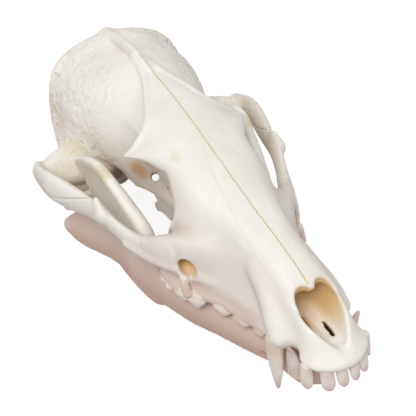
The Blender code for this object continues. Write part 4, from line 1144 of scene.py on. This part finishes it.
LOWER_TEETH = (
    Tooth("incisor_1", (1.25, 7.6), 80, (0.0, -1.6), 1.3, ((0, 0, 0.85, 1.1, 3.6),)),
    Tooth("incisor_2", (3.0, 8.0), 70, (0.2, -1.6), 1.3, ((0, 0, 0.95, 1.2, 3.8),)),
    Tooth("incisor_3", (4.7, 8.8), 52, (0.5, -1.3), 1.3, ((0, 0, 1.1, 1.2, 3.8),)),
    Tooth("canine", (7.0, 10.5), 20, (2.7, -1.3), 3.5, ((0, 0, 2.0, 1.5, 10.4),)),
    Tooth("premolar_1", (7.0, 17.6), 12, (0.0, -0.2), 2.0, ((0, 0, 1.3, 0.9, 1.8),)),
    Tooth("premolar_2", (7.8, 23.0), 14, (0.0, -0.3), 2.0, ((0, 0, 2.3, 1.0, 3.0),)),
    Tooth("premolar_3", (9.5, 29.0), 18, (0.0, -0.3), 2.0, ((0, 0, 2.6, 1.1, 3.4),)),
    Tooth("premolar_4", (10.9, 36.0), 18, (0.0, -0.3), 2.0, ((0, 0, 2.9, 1.2, 3.1),)),
    Tooth("carnassial", (12.5, 44.0), 16, (0.0, 0.0), 2.0,
          ((2.4, 0.3, 2.4, 1.3, 3.3), (-0.4, -0.1, 2.3, 1.6, 3.0), (-3.8, -0.2, 2.5, 1.8, 1.5))),
    Tooth("molar_2", (15.2, 52.4), 12, (0.0, 0.0), 2.0,
          ((1.3, 0.0, 1.8, 1.6, 1.3), (-1.4, -0.1, 1.8, 1.5, 1.2))),
    Tooth("molar_3", (16.4, 56.8), 10, (0.0, 0.0), 2.0, ((0.0, 0.0, 1.4, 1.3, 1.0),)),
)
UPPER_SOCKETS = ((0, 0.2), (14, -0.2), (56, -0.4))
LOWER_SOCKETS = ((6, -7.2), (12, -6.4), (20, -5.2), (35, -4.6), (48, -4.2), (58, -3.6))
print(2 * len(UPPER_TEETH), "upper teeth,", 2 * len(LOWER_TEETH), "lower teeth")

# %% Crowns
# The share of each root that is modelled, so that it stays inside its bone
ROOT_SHARE = 0.5
# How the lean grows towards the tip, the share of the height that the tip's rounding takes, and the
# blends at the tip, at the root's end and between cusps
LEAN_CURVE = 1.25
TIP_ROUNDING = 0.16
TIP_BLEND = 0.7
ROOT_BLEND = 0.6
CUSP_BLEND = 0.8
# How strongly the teeth are stained at their necks
USUAL_STAIN = 0.15
NECK_STAIN = {"canine": 0.35, "premolar_2": 0.5, "premolar_1": 0.5}
PROFILES = {
    "incisor": (along(((-0.3, 0.75), (0, 0.86), (0.5, 1.0), (0.9, 0.94), (1.0, 0.85))),
                along(((-0.3, 0.8), (0, 1.0), (0.4, 0.84), (0.8, 0.45), (1.0, 0.3)))),
    "canine": (along(((-0.3, 0.9), (0, 1.0), (0.3, 0.92), (0.6, 0.68), (0.85, 0.38), (1.0, 0.16))),
               along(((-0.3, 0.9), (0, 1.0), (0.3, 0.92), (0.6, 0.68), (0.85, 0.38), (1.0, 0.16)))),
    "cheek": (along(((-0.4, 0.6), (0, 0.93), (0.25, 1.0), (0.6, 0.6), (0.9, 0.24), (1.0, 0.12))),
              along(((-0.4, 0.4), (0, 0.75), (0.25, 1.0), (0.6, 0.66), (1.0, 0.25)))),
}


def crown(tooth, cusp, level, sign):
    """One cusp, from its root in the socket to its tip."""
    forward, outward, half_length, half_width, height = cusp
    kind = tooth.name.split("_")[0]
    long, wide = PROFILES.get(kind, PROFILES["cheek"])
    sine, cosine = math.sin(math.radians(tooth.turn)), math.cos(math.radians(tooth.turn))
    x0 = tooth.place[0] - forward * sine + outward * cosine
    y0 = tooth.place[1] - forward * cosine - outward * sine
    lean_x, lean_y = tooth.lean

    def distance(x, y, z):
        rise = sign * (z - level)
        share = rise / height
        bend = np.clip(share, 0, 1) ** LEAN_CURVE
        right, back = x - x0 - lean_x * bend, y - y0 - lean_y * bend
        u, w = right * sine + back * cosine, right * cosine - back * sine
        length, width = half_length * long(share), half_width * wide(share)
        ring = np.sqrt((u / length) ** 2 + (w / width) ** 2)
        side = (ring - 1) * np.minimum(length, width)
        edge = rise - height * (1 - TIP_ROUNDING * (u / half_length) ** 2)
        capped = smooth_max(side, edge, TIP_BLEND)
        return smooth_max(capped, -ROOT_SHARE * tooth.root - rise, ROOT_BLEND)

    reach = max(half_length, half_width)
    down, up = (tooth.root, height) if sign > 0 else (height, tooth.root)
    low = (x0 - reach + min(lean_x, 0), y0 - reach + min(lean_y, 0), level - down)
    high = (x0 + reach + max(lean_x, 0), y0 + reach + max(lean_y, 0), level + up)
    return Shape(np.array(low), np.array(high), distance)


def tooth_piece(tooth, sockets, sign):
    """The mesh of one tooth, with its neck and its tip painted."""
    level = float(sockets(tooth.place[1]))
    cusps = [crown(tooth, cusp, level, sign) for cusp in tooth.cusps]
    low = np.min([cusp.low for cusp in cusps], axis=0) - 1.0
    high = np.max([cusp.high for cusp in cusps], axis=0) + 1.0
    clay = Clay(low, high, TOOTH_CELL)
    for cusp in cusps:
        clay.add(cusp, CUSP_BLEND)
    mesh = clay.mesh(tooth.name)
    points = points_and_normals(mesh)[0]
    rise = sign * (points[:, 2] - level) / max(cusp[4] for cusp in tooth.cusps)
    paint(mesh, "neck", NECK_STAIN.get(tooth.name, USUAL_STAIN) * (1 - ease(rise, 0.05, 0.45)))
    paint(mesh, "tip", ease(rise, 0.5, 1.0))
    return mesh


def joined(meshes, name):
    """One object from several meshes, with smooth enamel."""
    shape = bmesh.new()
    for mesh in meshes:
        shape.from_mesh(mesh)
    mesh = bpy.data.meshes.new(name)
    shape.to_mesh(mesh)
    shape.free()
    mesh.shade_smooth()
    mesh.materials.append(enamel)
    print(name, len(mesh.polygons), "faces")
    return new_object(mesh, name)


# %% Set the teeth
DOWN, UP = -1, 1
upper = [tooth_piece(tooth, along(UPPER_SOCKETS), DOWN) for tooth in UPPER_TEETH]
lower = [tooth_piece(tooth, along(LOWER_SOCKETS), UP) for tooth in LOWER_TEETH]
upper_teeth = joined(upper + [mirror_image(mesh) for mesh in upper], "upper_teeth")
lower_teeth_left = joined(lower, "lower_teeth_left")
lower_teeth_right = joined([mirror_image(mesh) for mesh in lower], "lower_teeth_right")
for piece in (upper_teeth, lower_teeth_left, lower_teeth_right):
    bend_snout(piece.data)

# %% [markdown]
# Sutures are the wavy lines where the bones of the skull meet. Each is a path over the surface with a
# fine zigzag, and a path is what Geometry Nodes are good at: the tree resamples the line, shakes it
# sideways with noise, and sweeps a thin thread along it that lies half sunk in the bone.

# %% Lay the sutures on the bone
DROP_HEIGHT = 80.0
MIDLINE = (((0, 14.0), (0, 30), (0, 45), (0, 60), (0, 75), (0, 92)),)
NASAL_EDGES = (((5.3, 15.0), (5.8, 22), (5.5, 30), (4.5, 40), (3.0, 50), (1.0, 57)),
               ((-5.3, 15.0), (-5.8, 22), (-5.5, 30), (-4.5, 40), (-3.0, 50), (-1.0, 57)))


def suture_curves(piece, paths):
    """Suture lines, dropped from above onto a bone, as one curve object of plain polylines."""
    curve = bpy.data.curves.new("suture_lines", "CURVE")
    curve.dimensions = "3D"
    skin = BVHTree.FromPolygons([vertex.co for vertex in piece.data.vertices],
                                [face.vertices for face in piece.data.polygons])
    for path in paths:
        starts = [Vector((x, y, DROP_HEIGHT)) * MM for x, y in smooth_path(path, 8)]
        spots = [skin.ray_cast(start, Vector((0, 0, -1)))[0] for start in starts]
        spots = [spot for spot in spots if spot is not None]
        spline = curve.splines.new("POLY")
        spline.points.add(len(spots) - 1)
        for point, spot in zip(spline.points, spots):
            point.co = (*spot, 1.0)
    lines = bpy.data.objects.new("suture_lines", curve)
    bpy.context.scene.collection.objects.link(lines)
    return lines


print("suture paths:", len(MIDLINE) + len(NASAL_EDGES))

# %% The thread of a suture
PATCH_SIZE = 3.0
MIDLINE_RADIUS = 0.15
NASAL_RADIUS = 0.07
THREAD_STEP = 0.35
ZIGZAG_WIDTH = 0.5
ZIGZAG_LENGTH = 1.2
ZIGZAG_SEED = 4.0


def seam_material(name, dark, light):
    """The dried cartilage and dust that fill a suture, in patches of two tones."""
    material, tree, shader = new_material(name, 0.7, 1.5)
    place = add_node(tree, "ShaderNodeTexCoord").outputs["Object"]
    spots = add_node(tree, "ShaderNodeTexNoise", {
        "Vector": place, "Scale": 1 / (PATCH_SIZE * MM), "Detail": 3.0})
    tone = add_node(tree, "ShaderNodeMix", {
        AMOUNT: spots.outputs["Fac"], FIRST: colour(dark), SECOND: colour(light)},
        data_type="RGBA").outputs[MIXED]
    tree.links.new(tone, shader.inputs["Base Color"])
    return material


def suture_tree(filling):
    """Geometry Nodes: a thin thread along each line, shaken sideways by noise."""
    tree = bpy.data.node_groups.new("suture thread", "GeometryNodeTree")
    sockets = tree.interface
    sockets.new_socket("Geometry", in_out="INPUT", socket_type="NodeSocketGeometry")
    for name, value in (("Thread radius", MIDLINE_RADIUS * MM), ("Step", THREAD_STEP * MM),
                        ("Zigzag width", ZIGZAG_WIDTH * MM), ("Zigzag length", ZIGZAG_LENGTH * MM),
                        ("Seed", ZIGZAG_SEED)):
        sockets.new_socket(name, in_out="INPUT", socket_type="NodeSocketFloat").default_value = value
    sockets.new_socket("Geometry", in_out="OUTPUT", socket_type="NodeSocketGeometry")
    inputs = add_node(tree, "NodeGroupInput").outputs
    resample = add_node(tree, "GeometryNodeResampleCurve", {
        "Curve": inputs["Geometry"], "Length": inputs["Step"]}, mode="LENGTH")
    place = add_node(tree, "GeometryNodeInputPosition")
    fineness = add_node(tree, "ShaderNodeMath", {0: 1.0, 1: inputs["Zigzag length"]}, operation="DIVIDE")
    noise = add_node(tree, "ShaderNodeTexNoise", {
        "Vector": place.outputs[0], "W": inputs["Seed"], "Scale": fineness.outputs[0], "Detail": 1.0},
        noise_dimensions="4D")
    shake = add_node(tree, "ShaderNodeMath", {0: noise.outputs["Fac"], 1: 0.5}, operation="SUBTRACT")
    aside = add_node(tree, "ShaderNodeMath", {
        0: shake.outputs[0], 1: inputs["Zigzag width"]}, operation="MULTIPLY")
    offset = add_node(tree, "ShaderNodeCombineXYZ", {"X": aside.outputs[0]})
    moved = add_node(tree, "GeometryNodeSetPosition", {
        "Geometry": resample.outputs[0], "Offset": offset.outputs[0]})
    ring = add_node(tree, "GeometryNodeCurvePrimitiveCircle", {
        "Resolution": 6, "Radius": inputs["Thread radius"]})
    thread = add_node(tree, "GeometryNodeCurveToMesh", {
        "Curve": moved.outputs[0], "Profile Curve": ring.outputs[0], "Fill Caps": True})
    solid = add_node(tree, "GeometryNodeRealizeInstances", {"Geometry": thread.outputs[0]})
    finished = add_node(tree, "GeometryNodeSetMaterial", {
        "Geometry": solid.outputs[0], "Material": filling})
    output = add_node(tree, "NodeGroupOutput")
    tree.links.new(finished.outputs[0], output.inputs[0])
    return tree


def set_input(modifier, name, value):
    """Set a named input of a Geometry Nodes modifier by its socket's identifier."""
    for item in modifier.node_group.interface.items_tree:
        if item.item_type == "SOCKET" and item.in_out == "INPUT" and item.name == name:
            modifier[item.identifier] = value


def lay_sutures(name, paths, filling, radius):
    """The threads of some sutures as one plain mesh."""
    lines = suture_curves(cranium, paths)
    thread = lines.modifiers.new("Thread", "NODES")
    thread.node_group = suture_tree(filling)
    set_input(thread, "Thread radius", radius * MM)
    mesh = bpy.data.meshes.new_from_object(lines.evaluated_get(bpy.context.evaluated_depsgraph_get()))
    bpy.data.objects.remove(lines, do_unlink=True)
    mesh.shade_smooth()
    print(name, len(mesh.polygons), "faces")
    return new_object(mesh, name)


lay_sutures("midline_suture", MIDLINE, seam_material("midline suture filling", "C9BD84", "DDD3A8"),
            MIDLINE_RADIUS)
lay_sutures("nasal_sutures", NASAL_EDGES, seam_material("nasal suture filling", "E2DCCB", "F0EADC"),
            NASAL_RADIUS)

# %% [markdown]
# The pieces are laid down with the resting pose, put into their meshes so that every object stays at
# the origin. Then each hangs from one empty for the whole skull, and the solid that it stands for is
# hidden.

# %% Lay the skull down and hide the solids that it stands for
STANDS_FOR = {
    "cranium_bone": "cranium", "upper_teeth": "cranium", "midline_suture": "cranium",
    "nasal_sutures": "cranium",
    "jugal_left": "zygomatic_left", "jugal_right": "zygomatic_right",
    "dentary_left": "mandible_left", "lower_teeth_left": "mandible_left",
    "dentary_right": "mandible_right", "lower_teeth_right": "mandible_right",
}

for name, node in STANDS_FOR.items():
    piece = bpy.data.objects[name]
    piece.data.transform(resting_pose)
    piece.data.update()
    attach(piece, "root")
    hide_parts(node)
print(len(STANDS_FOR), "pieces stand for", len(set(STANDS_FOR.values())), "solids")

# %% [markdown]
# The set is a white table under soft daylight. The sky is bright overhead and dims towards the
# ground, one large lamp above models the forms, and the table itself glows a little, as a lit table
# under a product does.

# %% Floor and light
SKY_STRENGTH = 0.58
GROUND_STRENGTH = 0.22
FLOOR_SIZE = 4.0
FLOOR_GLOW = 0.85
KEY_POWER = 3.2
KEY_SIZE = 0.40
KEY_PLACE = (-0.36, -0.26, 0.70)
KEY_AIM = (0, 0, 0.02)


def white_floor(size):
    """A matt white table top that is lit from inside, so that its shadows stay faint."""
    mesh = bpy.data.meshes.new("floor")
    half = size / 2
    corners = [(-half, -half, 0), (half, -half, 0), (half, half, 0), (-half, half, 0)]
    mesh.from_pydata(corners, [], [(0, 1, 2, 3)])
    floor = new_object(mesh, "floor")
    material, tree, shader = new_material("lit white table", 0.9, 1.45)
    shader.inputs["Base Color"].default_value = colour("8A8A8A")
    shader.inputs["Emission Color"].default_value = colour("FFFFFF")
    shader.inputs["Emission Strength"].default_value = FLOOR_GLOW
    mesh.materials.append(material)
    floor.visible_diffuse = False
    return floor


def soft_lamp(name, place, aim, size, power):
    """A square lamp that faces a point."""
    light = bpy.data.lights.new(name, "AREA")
    light.size = size
    light.energy = power
    lamp = bpy.data.objects.new(name, light)
    bpy.context.scene.collection.objects.link(lamp)
    lamp.location = place
    lamp.rotation_euler = (Vector(aim) - Vector(place)).to_track_quat("-Z", "Y").to_euler()
    return lamp


def soft_sky():
    """A white sky overhead that turns to a dimmer, pinker light from the ground."""
    sky = bpy.data.worlds.new("sky")
    sky.use_nodes = True
    tree = sky.node_tree
    place = add_node(tree, "ShaderNodeTexCoord")
    direction = add_node(tree, "ShaderNodeSeparateXYZ", {"Vector": place.outputs[0]})
    rise = add_node(tree, "ShaderNodeMapRange", {
        "Value": direction.outputs["Z"], "From Min": -0.7, "From Max": 0.8})
    tone = add_node(tree, "ShaderNodeMix", {
        AMOUNT: rise.outputs["Result"], FIRST: colour("F0DDD6"), SECOND: colour("FFFFFF")},
        data_type="RGBA").outputs[MIXED]
    strength = add_node(tree, "ShaderNodeMapRange", {
        "Value": rise.outputs["Result"], "To Min": GROUND_STRENGTH, "To Max": SKY_STRENGTH})
    background = tree.nodes["Background"]
    tree.links.new(tone, background.inputs["Color"])
    tree.links.new(strength.outputs["Result"], background.inputs["Strength"])
    bpy.context.scene.world = sky
    return sky


white_floor(FLOOR_SIZE)
key = soft_lamp("key_lamp", KEY_PLACE, KEY_AIM, KEY_SIZE, KEY_POWER)
sky = soft_sky()
bpy.context.scene.view_settings.view_transform = "Standard"
print("lit by", key.name, "and", sky.name)
